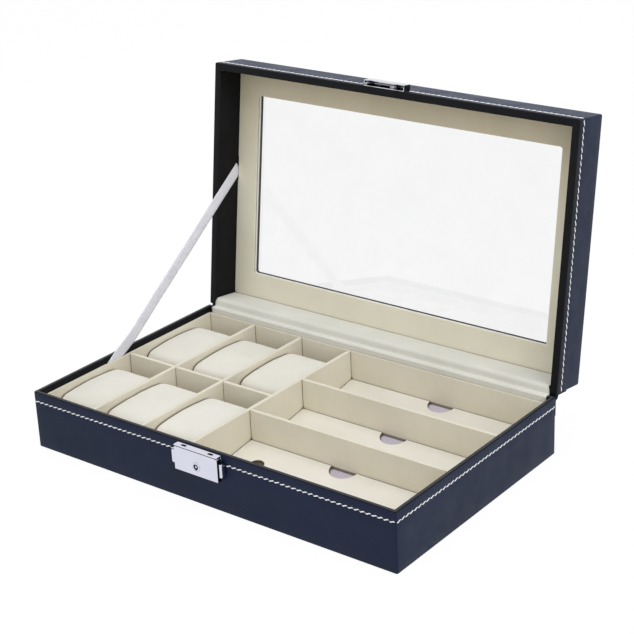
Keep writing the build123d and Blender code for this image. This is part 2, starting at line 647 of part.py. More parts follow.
def ribbon_slope():
    """The ribbon's rise towards the rear, in degrees."""
    start = ribbon_base_point()
    end = ribbon_lid_point()
    return math.degrees(math.atan2(end[1] - start[1], end[0] - start[0]))


def closed_height(y, z):
    """How far above the hinge a point of the open lid lies once the lid is closed."""
    angle = math.radians(OPEN_ANGLE)
    return (y - HINGE_Y) * math.sin(angle) + (z - HINGE_Z) * math.cos(angle)


def stay_ribbon():
    """A flat ribbon: glued behind the liner, straight to the lid, held under the inner frame."""
    start_y, start_z = ribbon_base_point()
    end_y, end_z = ribbon_lid_point()
    length = math.hypot(end_y - start_y, end_z - start_z)
    along_y = (end_y - start_y) / length
    along_z = (end_z - start_z) / length
    base_x = -INSIDE_HALF_WIDTH + RIBBON / 2 + SHEET_GAP
    lid_x = -LID_ROOM_HALF_WIDTH + RIBBON / 2 + SHEET_GAP
    start_height = closed_height(start_y, start_z)
    end_height = closed_height(end_y, end_z)
    rim_share = (LID_RIM_Z - HINGE_Z - start_height) / (end_height - start_height)
    rim_reach = length * rim_share - RIBBON_WIDTH
    stations = ((-RIBBON_TAIL, base_x), (0, base_x), (rim_reach, lid_x), (length + RIBBON_WIDTH, lid_x))
    sections = []
    for reach, x in stations:
        place = Plane(origin=(x, start_y + reach * along_y, start_z + reach * along_z),
                      x_dir=(1, 0, 0), z_dir=(0, along_y, along_z))
        sections.append(place * Rectangle(RIBBON, RIBBON_WIDTH))
    behind_frame = block(-CASE_WIDTH, CASE_WIDTH, -CASE_DEPTH, CASE_DEPTH,
                         PACKING_Z - SHEET_GAP, LID_TOP_Z + LID_HEIGHT)
    return loft(sections, ruled=True) - opened(behind_frame)


# Lock case

def lock_rivet_shanks(radius):
    """The two rivets that hold the lock's back plate, from the plate to the inside of the board."""
    z = LOCK_BOTTOM_Z + LOCK_SHEET + LOCK_RIVET_RADIUS + RIVET_HEAD_RIM + SHEET_GAP
    left = front_pin(-LOCK_RIVET_X, z, -LEATHER - BASE_BOARD, LOCK_BACK_PLATE, radius)
    return left + front_pin(LOCK_RIVET_X, z, -LEATHER - BASE_BOARD, LOCK_BACK_PLATE, radius)


def lock_rivets():
    z = LOCK_BOTTOM_Z + LOCK_SHEET + LOCK_RIVET_RADIUS + RIVET_HEAD_RIM + SHEET_GAP
    rivets = lock_rivet_shanks(LOCK_RIVET_RADIUS)
    for side in (-1, 1):
        rivets += front_pin(side * LOCK_RIVET_X, z, LOCK_BACK_PLATE, LOCK_BACK_PLATE + RIVET_HEAD,
                            LOCK_RIVET_RADIUS + RIVET_HEAD_RIM)
    return rivets


def lock_housing():
    """Back plate and top flange with the hook slots, the slider's rails and the spring's post."""
    half = LOCK_HALF
    top_inside = LOCK_TOP_Z - LOCK_SHEET
    housing = front_block(-half, half, 0, LOCK_BACK_PLATE, LOCK_BOTTOM_Z, LOCK_TOP_Z)
    housing += front_block(-half, half, 0, LOCK_DEPTH, top_inside, LOCK_TOP_Z)
    for x in (-HOOK_X, HOOK_X):
        slot = HOOK_SLOT_WIDTH / 2
        housing -= front_block(x - slot, x + slot, HOOK_OUT - HOOK_SLOT_DEPTH / 2,
                               HOOK_OUT + HOOK_SLOT_DEPTH / 2, top_inside - OVERCUT, LOCK_TOP_Z + OVERCUT)
    rail_out = LOCK_BACK_PLATE + RAIL_REACH
    upper = SLIDER_TOP_Z + SLIP_GAP
    lower = SLIDER_BOTTOM_Z - SLIP_GAP
    upper_end = catch_right_x(HOOK_X) - CATCH_BAR_WIDTH - LATCH_TRAVEL - LATCH_GAP
    housing += front_block(-CAM_REACH, upper_end, LOCK_BACK_PLATE, rail_out, upper, upper + RAIL)
    right_end = LUG_X + LUG_WIDTH + LATCH_GAP
    housing += front_block(right_end, RAIL_END, LOCK_BACK_PLATE, rail_out, lower - RAIL, lower)
    left_end = SPRING_LUG_X - LUG_WIDTH - LATCH_TRAVEL - LATCH_GAP
    housing += front_block(-RAIL_END, left_end, LOCK_BACK_PLATE, rail_out, lower - RAIL, lower)
    post_z = SLIDER_BOTTOM_Z - RAIL - 2 * SLIP_GAP
    housing += front_block(SPRING_POST_X - LUG_WIDTH, SPRING_POST_X, LOCK_BACK_PLATE,
                           rail_out + SPRING_WIDTH / 2, post_z - SPRING_HEIGHT, post_z)
    return housing - lock_rivet_shanks(LOCK_RIVET_RADIUS + FIT_GAP)


def rounded_lock_outline(inset):
    """The lock's front outline with its two round upper corners."""
    half = LOCK_HALF - inset
    bottom = LOCK_BOTTOM_Z + inset
    top = LOCK_TOP_Z - LOCK_SHEET - LOCK_SEAM
    outline = make_face(Polyline((-half, bottom), (half, bottom), (half, top), (-half, top), close=True))
    upper = outline.vertices().sort_by(Axis.Y)[-2:]
    return fillet(upper, LOCK_CORNER - inset)


def lock_cover():
    """Front cap of the lock, open behind, with the keyhole ring and a window in each end."""
    cover = front_plate(rounded_lock_outline(0), LOCK_BACK_PLATE, LOCK_DEPTH - LOCK_BACK_PLATE)
    open_out = LOCK_BACK_PLATE - OVERCUT
    cover -= front_plate(rounded_lock_outline(LOCK_SHEET), open_out, COVER_INSIDE_OUT - open_out)
    cover -= front_block(-LOCK_HALF + LOCK_CORNER, LOCK_HALF - LOCK_CORNER, open_out, COVER_INSIDE_OUT,
                         LOCK_BOTTOM_Z + LOCK_SHEET, LOCK_TOP_Z)
    cover -= front_block(-LOCK_HALF - OVERCUT, LOCK_HALF + OVERCUT, open_out, COVER_INSIDE_OUT,
                         TAB_BOTTOM_Z - SLIP_GAP, TAB_TOP_Z + SLIP_GAP)
    cover += front_pin(0, KEY_Z, LOCK_DEPTH, LOCK_DEPTH + KEY_PROUD, KEY_RADIUS + KEY_RING)
    key_bore = front_pin(0, KEY_Z, COVER_INSIDE_OUT - OVERCUT, LOCK_DEPTH + OVERCUT, KEY_RADIUS + FIT_GAP)
    return cover - key_bore


def key_plug():
    """The lock's plug with its keyway, the shoulder that keeps it in, its spindle and the cam."""
    head_out = LOCK_DEPTH + KEY_PROUD
    shoulder_out = COVER_INSIDE_OUT - SHEET_GAP
    shoulder_back_out = shoulder_out - KEY_SHOULDER
    bore_out = shoulder_back_out + KEY_BORE_FLOOR
    plug = front_pin(0, KEY_Z, shoulder_back_out, head_out, KEY_RADIUS)
    plug += front_pin(0, KEY_Z, shoulder_back_out, shoulder_out, KEY_RADIUS + KEY_SHOULDER_RIM)
    plug += front_pin(0, KEY_Z, SLIDER_OUT, bore_out, KEY_SPINDLE_RADIUS)
    plug -= front_pin(0, KEY_Z, bore_out, head_out + OVERCUT, KEY_BORE_RADIUS)
    plug -= front_block(-KEYWAY_WIDTH / 2, KEYWAY_WIDTH / 2, bore_out, head_out + OVERCUT,
                        KEY_Z - KEYWAY_LENGTH, KEY_Z)
    plug += front_pin(0, KEY_Z, SLIDER_OUT, LOCK_DEPTH, KEY_PIN_RADIUS)
    plug += front_block(-CAM_WIDTH / 2, CAM_WIDTH / 2, SLIDER_OUT, SLIDER_OUT + CAM_SHEET,
                        KEY_Z - CAM_REACH, KEY_Z)
    return plug


# Latch slider: both hook catches move left when the right end tab is pushed in

def catch_right_x(hook_x):
    """The right end of a catch, just left of the hook's tongue and over its barb."""
    return hook_x - HOOK_WIDTH / 2 + HOOK_BARB - SLIP_GAP


def slider_tab(side):
    inner = LOCK_HALF + SLIP_GAP
    middle = Pos(side * (inner + TAB_OUT / 2), (TAB_BOTTOM_Z + TAB_TOP_Z) / 2)
    outline = middle * Rectangle(TAB_OUT, TAB_TOP_Z - TAB_BOTTOM_Z)
    outer_corners = outline.vertices().sort_by(lambda corner: side * corner.X)[-2:]
    return front_plate(fillet(outer_corners, TAB_CORNER), SLIDER_OUT, TAB_DEPTH)


def latch_slider():
    plate_half = LOCK_HALF + SLIP_GAP + LOCK_SHEET
    slider = front_block(-plate_half, plate_half, SLIDER_OUT, SLIDER_FACE_OUT,
                         SLIDER_BOTTOM_Z, SLIDER_TOP_Z)
    for side in (-1, 1):
        slider += slider_tab(side)
    for hook_x in (-HOOK_X, HOOK_X):
        right = catch_right_x(hook_x)
        left = right - CATCH_BAR_WIDTH
        slider += front_block(left, right, SLIDER_OUT, SLIDER_FACE_OUT, SLIDER_BOTTOM_Z, CATCH_TOP_Z)
        slider += front_block(left, right, SLIDER_OUT, SLIDER_FACE_OUT + CATCH_BAR_REACH,
                              CATCH_Z, CATCH_TOP_Z)
    for left in (LUG_X, SPRING_LUG_X - LUG_WIDTH):
        slider += front_block(left, left + LUG_WIDTH, SLIDER_OUT, SLIDER_FACE_OUT,
                              KEY_Z - CAM_WIDTH, SLIDER_TOP_Z)
    return slider


def latch_spring():
    """A folded strip between the housing's post and the slider's left lug."""
    left = SPRING_POST_X + SPRING_SHEET
    right = SPRING_LUG_X - LUG_WIDTH - SPRING_SHEET
    middle_z = SLIDER_BOTTOM_Z - RAIL - 3 * SLIP_GAP - SPRING_HEIGHT / 2
    pitch = (right - left) / (SPRING_BENDS + 1)
    points = [(left, middle_z)]
    for bend in range(SPRING_BENDS):
        swing = SPRING_HEIGHT / 2 - SPRING_SHEET
        points.append((left + (bend + 1) * pitch, middle_z + swing * (-1) ** bend))
    points.append((right, middle_z))
    path = FilletPolyline(*points, radius=SPRING_BEND_RADIUS)
    return front_plate(trace(path, line_width=SPRING_SHEET), SLIDER_OUT, SPRING_WIDTH)


# Keeper on the lid front

def keeper_rivet_z():
    return LID_RIM_Z + KEEPER_HEIGHT / 2


def keeper_rivet_shanks(radius):
    depth = LEATHER + LID_BOARD
    left = front_pin(-KEEPER_RIVET_X, keeper_rivet_z(), -depth, KEEPER_SHEET, radius)
    return left + front_pin(KEEPER_RIVET_X, keeper_rivet_z(), -depth, KEEPER_SHEET, radius)


def keeper_rivets():
    """Two shouldered rivets that space the hook plate out from the shell's back."""
    rivets = keeper_rivet_shanks(LOCK_RIVET_RADIUS)
    hook_front = HOOK_OUT + HOOK_SHEET / 2
    z = keeper_rivet_z()
    for x in (-KEEPER_RIVET_X, KEEPER_RIVET_X):
        rivets += front_pin(x, z, KEEPER_SHEET, HOOK_BACK_OUT, 2 * LOCK_RIVET_RADIUS)
        rivets += front_pin(x, z, KEEPER_SHEET, hook_front, LOCK_RIVET_RADIUS)
        rivets += front_pin(x, z, hook_front, hook_front + RIVET_HEAD / 2, 2 * LOCK_RIVET_RADIUS)
    return rivets


def keeper_shell():
    """A folded chrome cap, open towards the base."""
    sheet = KEEPER_SHEET
    shell = front_block(-KEEPER_HALF, KEEPER_HALF, 0, KEEPER_DEPTH, LID_RIM_Z, KEEPER_TOP_Z)
    shell -= front_block(-KEEPER_HALF + sheet, KEEPER_HALF - sheet, sheet, KEEPER_DEPTH - sheet,
                         LID_RIM_Z - OVERCUT, KEEPER_TOP_Z - sheet)
    return shell - keeper_rivet_shanks(LOCK_RIVET_RADIUS + FIT_GAP)


def hook_outline(x):
    """One hook: a tongue with a barb on its left side and a slanted tip."""
    right = x + HOOK_WIDTH / 2
    left = x - HOOK_WIDTH / 2
    tongue_left = left + HOOK_BARB
    top = LID_RIM_Z + HOOK_PLATE_INSET + HOOK_BARB
    tip = HOOK_TIP_Z
    points = ((right, top), (right, tip + HOOK_BARB), (right - HOOK_BARB, tip), (left + 2 * HOOK_BARB, tip),
              (left, tip + HOOK_TIP * HOOK_SLANT_SHARE), (left, BARB_TOP_Z), (tongue_left, BARB_TOP_Z),
              (tongue_left, top))
    return make_face(Polyline(*points, close=True))


def keeper_hooks():
    plate_z = LID_RIM_Z + HOOK_PLATE_INSET
    plate_top = KEEPER_TOP_Z - KEEPER_SHEET - HOOK_PLATE_INSET
    hooks = front_block(-HOOK_PLATE_HALF, HOOK_PLATE_HALF, HOOK_BACK_OUT, HOOK_BACK_OUT + HOOK_SHEET,
                        plate_z, plate_top)
    for x in (-HOOK_X, HOOK_X):
        hooks += front_plate(hook_outline(x), HOOK_BACK_OUT, HOOK_SHEET)
    for side in (-1, 1):
        hooks -= front_pin(side * KEEPER_RIVET_X, keeper_rivet_z(), HOOK_BACK_OUT - OVERCUT,
                           HOOK_BACK_OUT + HOOK_SHEET + OVERCUT, LOCK_RIVET_RADIUS + FIT_GAP)
    return hooks


# All pieces

def build_base():
    save("base_felt", base_felt())
    save("base_bottom_board", base_bottom_board())
    save("base_front_board", base_front_board())
    save("base_back_board", base_back_board())
    save("base_left_board", base_side_board(-1))
    save("base_right_board", base_side_board(1))
    save("base_leather", base_leather())
    save("liner_front", liner_end(-1))
    save("liner_back", liner_end(1))
    save("liner_left", liner_side(-1))
    save("liner_right", liner_side(1))
    save("floor_lining", floor_lining())
    save("main_divider", main_divider())
    save("row_divider", row_divider())
    for index in range(1, WATCH_COLUMNS):
        save(f"column_divider_{index}", column_divider(index))


def build_glasses_places():
    for name, y in zip(("front", "rear"), GLASSES_DIVIDER_YS):
        save(f"glasses_divider_{name}", glasses_divider(y))
    for name, (front_y, rear_y) in zip(GLASSES_PLACE_NAMES, glasses_place_walls()):
        save(f"glasses_riser_{name}", glasses_riser(front_y, rear_y))
        save(f"glasses_floor_{name}", glasses_floor(front_y, rear_y, name == "front"))


def build_pillows():
    for row, (front_y, rear_y) in zip(("front", "rear"), WATCH_ROWS):
        for column in range(1, WATCH_COLUMNS + 1):
            x = column_divider_x(column) - DIVIDER / 2 - WATCH_SLOT_WIDTH / 2
            save(f"watch_pillow_{row}_{column}", watch_pillow(x, (front_y + rear_y) / 2))


def build_lid():
    save("lid_front_board", opened(lid_front_board()))
    save("lid_back_board", opened(lid_back_board()))
    save("lid_left_board", opened(lid_side_board(-1)))
    save("lid_right_board", opened(lid_side_board(1)))
    save("lid_top_board", opened(lid_top_board()))
    save("lid_leather", opened(lid_leather()))
    save("inner_frame", opened(inner_frame()))
    save("packing_frame", opened(packing_frame()))
    save("glass_pane", opened(glass_pane()))


def build_hinge():
    save("hinge_cloth", hinge_cloth())
    save("hinge_leather", hinge_leather())
    save("stay_ribbon", stay_ribbon())


def build_lock():
    save("lock_housing", lock_housing())
    save("lock_cover", lock_cover())
    save("lock_rivets", lock_rivets())
    save("key_plug", key_plug())
    save("latch_slider", latch_slider())
    save("latch_spring", latch_spring())
    save("keeper_shell", opened(keeper_shell()))
    save("keeper_hooks", opened(keeper_hooks()))
    save("keeper_rivets", opened(keeper_rivets()))


os.makedirs("parts", exist_ok=True)
build_base()
build_glasses_places()
build_pillows()
build_lid()
build_hinge()
build_lock()
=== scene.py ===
import math
import random

import bpy
import bmesh
import numpy as np
from mathutils import Matrix, Vector, noise


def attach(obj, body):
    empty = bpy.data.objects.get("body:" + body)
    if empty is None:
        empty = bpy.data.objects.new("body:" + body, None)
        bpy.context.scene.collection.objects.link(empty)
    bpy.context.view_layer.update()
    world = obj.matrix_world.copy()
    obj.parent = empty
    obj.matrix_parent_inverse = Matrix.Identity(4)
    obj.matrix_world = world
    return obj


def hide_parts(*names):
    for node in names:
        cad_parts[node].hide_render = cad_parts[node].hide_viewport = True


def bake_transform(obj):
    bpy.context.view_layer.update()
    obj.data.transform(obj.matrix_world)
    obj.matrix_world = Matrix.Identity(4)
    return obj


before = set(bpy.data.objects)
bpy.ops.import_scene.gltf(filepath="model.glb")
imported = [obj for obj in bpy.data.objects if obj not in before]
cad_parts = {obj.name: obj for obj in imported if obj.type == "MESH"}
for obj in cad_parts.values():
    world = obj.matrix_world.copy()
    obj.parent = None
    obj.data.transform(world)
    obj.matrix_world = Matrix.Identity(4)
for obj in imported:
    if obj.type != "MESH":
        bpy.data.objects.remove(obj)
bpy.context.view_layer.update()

# The watch and glasses case. Lengths are millimetres here and are scaled to metres in the meshes.
MM = 0.001

# Sizes of the case that the dressed pieces follow
HALF_WIDTH = 167.5
HALF_DEPTH = 101.7
CORNER_RADIUS = 1.3
BASE_HEIGHT = 47.0
FELT = 0.8
BASE_WALL = 3.3
LID_WALL = 5.9
LID_RIM_Z = 47.8
LID_TOP_Z = 81.1
LID_TOP_BOARD_Z = 79.6
FRAME_Z = 73.1
LID_ROOM_HALF_WIDTH = 161.6
LID_BOARD_INSIDE_Y = 96.5
WINDOW_HALF_WIDTH = 141.7
WINDOW_HALF_DEPTH = 75.1
WINDOW_CORNER = 2.0
HINGE_Y = 102.1
HINGE_Z = 47.4
OPEN_ANGLE = math.radians(97.5)
DIVIDER_TOP_Z = 42.0
FLOOR_LINING_Z = 4.6
GLASSES_LEFT_X = -15.0
GLASSES_FLOOR_TOP_Z = 17.9
NOTCH_X = 71.4
NOTCH_RADIUS = 11.0
FINGER_HOLE = (9.8, -54.0)
FINGER_HOLE_RADIUS = 5.8
LOCK_REACH = 23.4
KEEPER_REACH = 18.9
HINGE_CLOTH_HALF = 161.4
HINGE_LEATHER_HALF = 167.1
BASE_BOARD_INSIDE_Y = 98.4
BASE_BOARD_TOP_Z = 46.3

# The fitted camera: angles in degrees, distances in millimetres, focal length in pixels of the picture
CAMERA_AZIMUTH = 38.514
CAMERA_ELEVATION = 22.847
CAMERA_ROLL = -2.5375
CAMERA_DISTANCE = 1189.46
CAMERA_TARGET = (29.04, 0.0, 115.74)
CAMERA_FOCAL = 1657.385
PICTURE = 634
SENSOR = 36.0


def opened_point(y, z):
    """Where a point of the closed lid lies with the lid open."""
    back = y - HINGE_Y
    up = z - HINGE_Z
    return (HINGE_Y + back * math.cos(OPEN_ANGLE) + up * math.sin(OPEN_ANGLE),
            HINGE_Z - back * math.sin(OPEN_ANGLE) + up * math.cos(OPEN_ANGLE))


def opened(points):
    """Points of the closed lid, turned open."""
    turned = []
    for x, y, z in points:
        open_y, open_z = opened_point(y, z)
        turned.append((x, open_y, open_z))
    return turned


# Camera

def make_camera():
    az, el, roll = (math.radians(a) for a in (CAMERA_AZIMUTH, CAMERA_ELEVATION, CAMERA_ROLL))
    back = Vector((math.sin(az) * math.cos(el), -math.cos(az) * math.cos(el), math.sin(el)))
    right = (-back).cross(Vector((0, 0, 1))).normalized()
    up = right.cross(-back)
    turned_right = math.cos(roll) * right + math.sin(roll) * up
    turned_up = -math.sin(roll) * right + math.cos(roll) * up
    data = bpy.data.cameras.new("camera")
    data.sensor_width = SENSOR
    data.lens = CAMERA_FOCAL / PICTURE * SENSOR
    data.clip_start = 0.01
    data.clip_end = 50
    camera = bpy.data.objects.new("camera", data)
    bpy.context.scene.collection.objects.link(camera)
    place = (Vector(CAMERA_TARGET) + back * CAMERA_DISTANCE) * MM
    facing = Matrix((turned_right, turned_up, back)).transposed().to_4x4()
    camera.matrix_world = Matrix.Translation(place) @ facing
    bpy.context.scene.camera = camera


# Material helpers

# Painted shade: cloth and card are darkened towards this brown in creases and corners, as far as occlusion
# within the reach finds them.
CREASE_SHADE_BROWN = (0.20, 0.145, 0.095)
CREASE_SHADE_REACH = 0.0035
# Painted shade on the walls below the glasses floors.
UNDER_FLOOR_SHADE_BROWN = (0.30, 0.255, 0.205)


class Nodes:
    """A material's node tree with short calls for the nodes used here."""

    def __init__(self, name):
        self.material = bpy.data.materials.new(name)
        self.material.use_nodes = True
        self.tree = self.material.node_tree
        self.tree.nodes.clear()
        self.output = self.add("ShaderNodeOutputMaterial")
        self.shader = self.add("ShaderNodeBsdfPrincipled")
        self.link(self.shader.outputs[0], self.output.inputs[0])
        self.place = self.add("ShaderNodeTexCoord").outputs["Object"]

    def add(self, kind, **values):
        node = self.tree.nodes.new(kind)
        for key, value in values.items():
            setattr(node, key, value)
        return node

    def link(self, a, b):
        self.tree.links.new(a, b)

    def set(self, **values):
        for key, value in values.items():
            self.shader.inputs[key.replace("_", " ")].default_value = value

    def stretched(self, scale):
        mapping = self.add("ShaderNodeMapping")
        mapping.inputs["Scale"].default_value = scale
        self.link(self.place, mapping.inputs[0])
        return mapping.outputs[0]

    def noise(self, scale, detail, rough, place=None):
        node = self.add("ShaderNodeTexNoise")
        node.inputs["Scale"].default_value = scale
        node.inputs["Detail"].default_value = detail
        node.inputs["Roughness"].default_value = rough
        self.link(place or self.place, node.inputs["Vector"])
        return node.outputs[0]

    def cells(self, scale):
        node = self.add("ShaderNodeTexVoronoi", feature="F1")
        node.inputs["Scale"].default_value = scale
        self.link(self.place, node.inputs["Vector"])
        return node.outputs[0]

    def ramp(self, value, stops):
        """A colour ramp with two stops."""
        node = self.add("ShaderNodeValToRGB")
        for element, (position, color) in zip(node.color_ramp.elements, stops):
            element.position = position
            element.color = (*color, 1)
        self.link(value, node.inputs[0])
        return node.outputs[0]

    def span(self, value, low, high, to_low, to_high):
        node = self.add("ShaderNodeMapRange")
        sockets = ("From Min", "From Max", "To Min", "To Max")
        for socket, number in zip(sockets, (low, high, to_low, to_high)):
            node.inputs[socket].default_value = number
        self.link(value, node.inputs[0])
        return node.outputs[0]

    def math(self, operation, a, b):
        node = self.add("ShaderNodeMath", operation=operation)
        for socket, value in zip(node.inputs, (a, b)):
            if isinstance(value, (int, float)):
                socket.default_value = value
            else:
                self.link(value, socket)
        return node.outputs[0]

    def mix(self, share, a, b, blend="MIX"):
        node = self.add("ShaderNodeMix", data_type="RGBA", blend_type=blend)
        if isinstance(share, (int, float)):
            node.inputs[0].default_value = share
        else:
            self.link(share, node.inputs[0])
        for socket, value in ((node.inputs[6], a), (node.inputs[7], b)):
            if isinstance(value, tuple):
                socket.default_value = (*value, 1)
            else:
                self.link(value, socket)
        return node.outputs[2]

    def parts(self, vector):
        """The three coordinates of a vector."""
        node = self.add("ShaderNodeSeparateXYZ")
        self.link(vector, node.inputs[0])
        return node.outputs

    def openness(self, reach, closed, free):
        """From 0 in a crevice to 1 in the open, measured within a reach."""
        near = self.add("ShaderNodeAmbientOcclusion", samples=12)
        near.inputs["Distance"].default_value = reach
        return self.span(near.outputs["AO"], closed, free, 0.0, 1.0)

    def bump(self, height, distance, strength, under=None):
        node = self.add("ShaderNodeBump")
        node.inputs["Strength"].default_value = strength
        node.inputs["Distance"].default_value = distance
        self.link(height, node.inputs["Height"])
        if under is not None:
            self.link(under, node.inputs["Normal"])
        return node.outputs[0]

    def color(self, socket):
        self.link(socket, self.shader.inputs["Base Color"])

    def rough(self, socket):
        self.link(socket, self.shader.inputs["Roughness"])

    def normal(self, socket):
        self.link(socket, self.shader.inputs["Normal"])


def swap_shaders(tree, share, first, second, out):
    """Gives the output the second shader by a share and the first one for the rest."""
    swap = tree.nodes.new("ShaderNodeMixShader")
    tree.links.new(share, swap.inputs[0])
    tree.links.new(first.outputs[0], swap.inputs[1])
    tree.links.new(second.outputs[0], swap.inputs[2])
    tree.links.new(swap.outputs[0], out.inputs[0])


def directly_seen(tree):
    """1 for what is seen straight, in a reflection or through the glass, and 0 for lighting."""
    light = tree.nodes.new("ShaderNodeLightPath")
    seen = light.outputs["Is Camera Ray"]
    for way in ("Is Glossy Ray", "Is Transmission Ray"):
        either = tree.nodes.new("ShaderNodeMath")
        either.operation = "MAXIMUM"
        tree.links.new(seen, either.inputs[0])
        tree.links.new(light.outputs[way], either.inputs[1])
        seen = either.outputs[0]
    return seen


def leather_material(name, dark, light, rough_low, rough_high, sheen):
    """Leather: pebbled grain with fine pores, drifting shade and gloss."""
    n = Nodes(name)
    drift = n.noise(14, 3, 0.55)
    shade = n.ramp(drift, [(0.3, dark), (0.72, light)])
    grain = n.cells(850)
    valleys = n.ramp(grain, [(0.0, (1, 1, 1)), (0.75, (0.72, 0.72, 0.74))])
    n.color(n.mix(0.35, shade, n.mix(1.0, shade, valleys, "MULTIPLY")))
    n.rough(n.span(n.noise(60, 4, 0.6), 0.3, 0.7, rough_low, rough_high))
    pebbles = n.bump(grain, 0.00012, 0.55)
    pores = n.bump(n.noise(3200, 2, 0.6), 0.00003, 0.5, pebbles)
    n.normal(n.bump(n.noise(28, 2, 0.5), 0.0005, 0.35, pores))
    n.set(Specular_IOR_Level=0.15, Sheen_Weight=sheen, Sheen_Roughness=0.35,
          Sheen_Tint=(0.62, 0.72, 1.0, 1))
    return n.material


def suede_material(name, dark, light, weave=2600.0, nap=0.00012, sheen=0.25, variation=None):
    """Cream lining cloth: a short nap with fine fibres, soft cloudy tone and painted brown shade in its
    creases and corners.

    variation may change the cloth's colour by place.
    """
    n = Nodes(name)
    cloud = n.noise(22, 3, 0.55)
    shade = n.ramp(cloud, [(0.28, dark), (0.72, light)])
    speck = n.noise(weave, 3, 0.65)
    fibres = n.ramp(speck, [(0.3, (0.86, 0.85, 0.83)), (0.7, (1, 1, 1))])
    cloth = n.mix(0.7, shade, n.mix(1.0, shade, fibres, "MULTIPLY"))
    if variation:
        cloth = variation(n, cloth)
    # Painted shade in the creases and corners.
    n.color(n.mix(n.openness(CREASE_SHADE_REACH, 0.3, 0.58), CREASE_SHADE_BROWN, cloth))
    n.rough(n.span(speck, 0.3, 0.7, 0.82, 0.96))
    fine = n.bump(speck, nap, 0.6)
    n.normal(n.bump(n.noise(130, 2, 0.5), 0.0003, 0.3, fine))
    n.set(Specular_IOR_Level=0.2, Sheen_Weight=sheen, Sheen_Roughness=0.5)
    return n.material


def shade_under_floors(n, cloth):
    """The front sides of the glasses walls are painted dark brown below the floors: painted shade, where
    the floors shade them.
    """
    x, _, z = n.parts(n.place)
    _, facing, _ = n.parts(n.add("ShaderNodeNewGeometry").outputs["Normal"])
    low = n.math("LESS_THAN", z, (GLASSES_FLOOR_TOP_Z - 0.5) * MM)
    beside = n.math("GREATER_THAN", x, (GLASSES_LEFT_X - 0.1) * MM)
    front = n.math("LESS_THAN", facing, -0.5)
    below_floor = n.math("MULTIPLY", low, n.math("MULTIPLY", beside, front))
    return n.mix(below_floor, cloth, UNDER_FLOOR_SHADE_BROWN)


def shade_to_front_edge(n, cloth):
    """Painted shade: the cloth in the lid is darker and yellower towards the lid's front edge, which the
    lid's rim shades.
    """
    _, _, z = n.parts(n.place)
    painted_shade = n.mix(1.0, cloth, (0.83, 0.77, 0.68), "MULTIPLY")
    return n.mix(n.span(z, 0.14, 0.235, 0.0, 1.0), cloth, painted_shade)


def shaded_sides(n, cloth):
    """Painted shade: a pillow's upright sides are darker and warmer than its top."""
    _, _, up = n.parts(n.add("ShaderNodeNewGeometry").outputs["Normal"])
    painted_shade = n.mix(1.0, cloth, (0.91, 0.83, 0.76), "MULTIPLY")
    return n.mix(n.span(up, 0.15, 0.8, 0.0, 1.0), painted_shade, cloth)


def satin_material():
    """White satin: fine ribs across the ribbon and a soft sheen."""
    n = Nodes("satin_ribbon")
    rib = n.add("ShaderNodeTexWave", wave_type="BANDS", bands_direction="Z", wave_profile="SIN")
    rib.inputs["Scale"].default_value = 900
    rib.inputs["Distortion"].default_value = 0.6
    n.link(n.place, rib.inputs["Vector"])
    tone = n.ramp(n.noise(60, 3, 0.5), [(0.3, (0.80, 0.80, 0.89)), (0.7, (0.88, 0.88, 0.94))])
    ribs = n.ramp(rib.outputs[0], [(0.2, (0.93, 0.93, 0.95)), (0.8, (1, 1, 1))])
    n.color(n.mix(1.0, tone, ribs, "MULTIPLY"))
    n.rough(n.span(rib.outputs[0], 0, 1, 0.34, 0.46))
    n.normal(n.bump(rib.outputs[0], 0.00006, 0.4))
    n.set(Sheen_Weight=0.3, Sheen_Roughness=0.3, Specular_IOR_Level=0.5)
    return n.material


def thread_material():
    """White stitching thread, twisted."""
    n = Nodes("thread")
    twist = n.noise(2400, 3, 0.6)
    n.color(n.ramp(twist, [(0.25, (0.90, 0.90, 0.92)), (0.65, (0.99, 0.99, 0.99))]))
    n.rough(n.span(twist, 0.3, 0.7, 0.55, 0.75))
    n.normal(n.bump(twist, 0.00008, 0.5))
    return n.material


def chrome_material(name, tint, rough_low, rough_high, brushed=False, crevice=(0.003, 0.3, 0.85)):
    """Bright plating with faint wipe marks, or drawn steel with long scratches.

    Painted shade makes it dark in its crevices. crevice is their reach, and how open closed and free places
    are.
    """
    n = Nodes(name)
    if brushed:
        marks = n.noise(90, 4, 0.6, n.stretched((1, 30, 30)))
        dulling = 0.86
    else:
        marks = n.noise(60, 3, 0.5)
        dulling = 0.965
    dull = tuple(c * dulling for c in tint)
    dark = tuple(c * 0.04 for c in tint)
    # Painted shade: the colour goes near black where the metal is enclosed.
    n.color(n.mix(n.openness(*crevice), dark, n.ramp(marks, [(0.35, dull), (0.65, tint)])))
    n.rough(n.span(marks, 0.35, 0.65, rough_low, rough_high))
    n.normal(n.bump(n.noise(700, 3, 0.5), 0.00001, 0.2))
    n.set(Metallic=1.0)
    return n.material


def glass_material():
    """Clear window glass with slight surface smears. Light passes it."""
    n = Nodes("window_glass")
    smear = n.noise(35, 4, 0.6)
    n.color(n.ramp(smear, [(0.3, (0.895, 0.895, 0.9)), (0.7, (0.925, 0.925, 0.93))]))
    n.rough(n.span(smear, 0.35, 0.75, 0.0, 0.03))
    n.set(Transmission_Weight=1.0, IOR=1.45)
    clear = n.add("ShaderNodeBsdfTransparent")
    clear.inputs[0].default_value = (0.93, 0.95, 0.95, 1)
    light = n.add("ShaderNodeLightPath")
    swap_shaders(n.tree, light.outputs["Is Shadow Ray"], n.shader, clear, n.output)
    return n.material


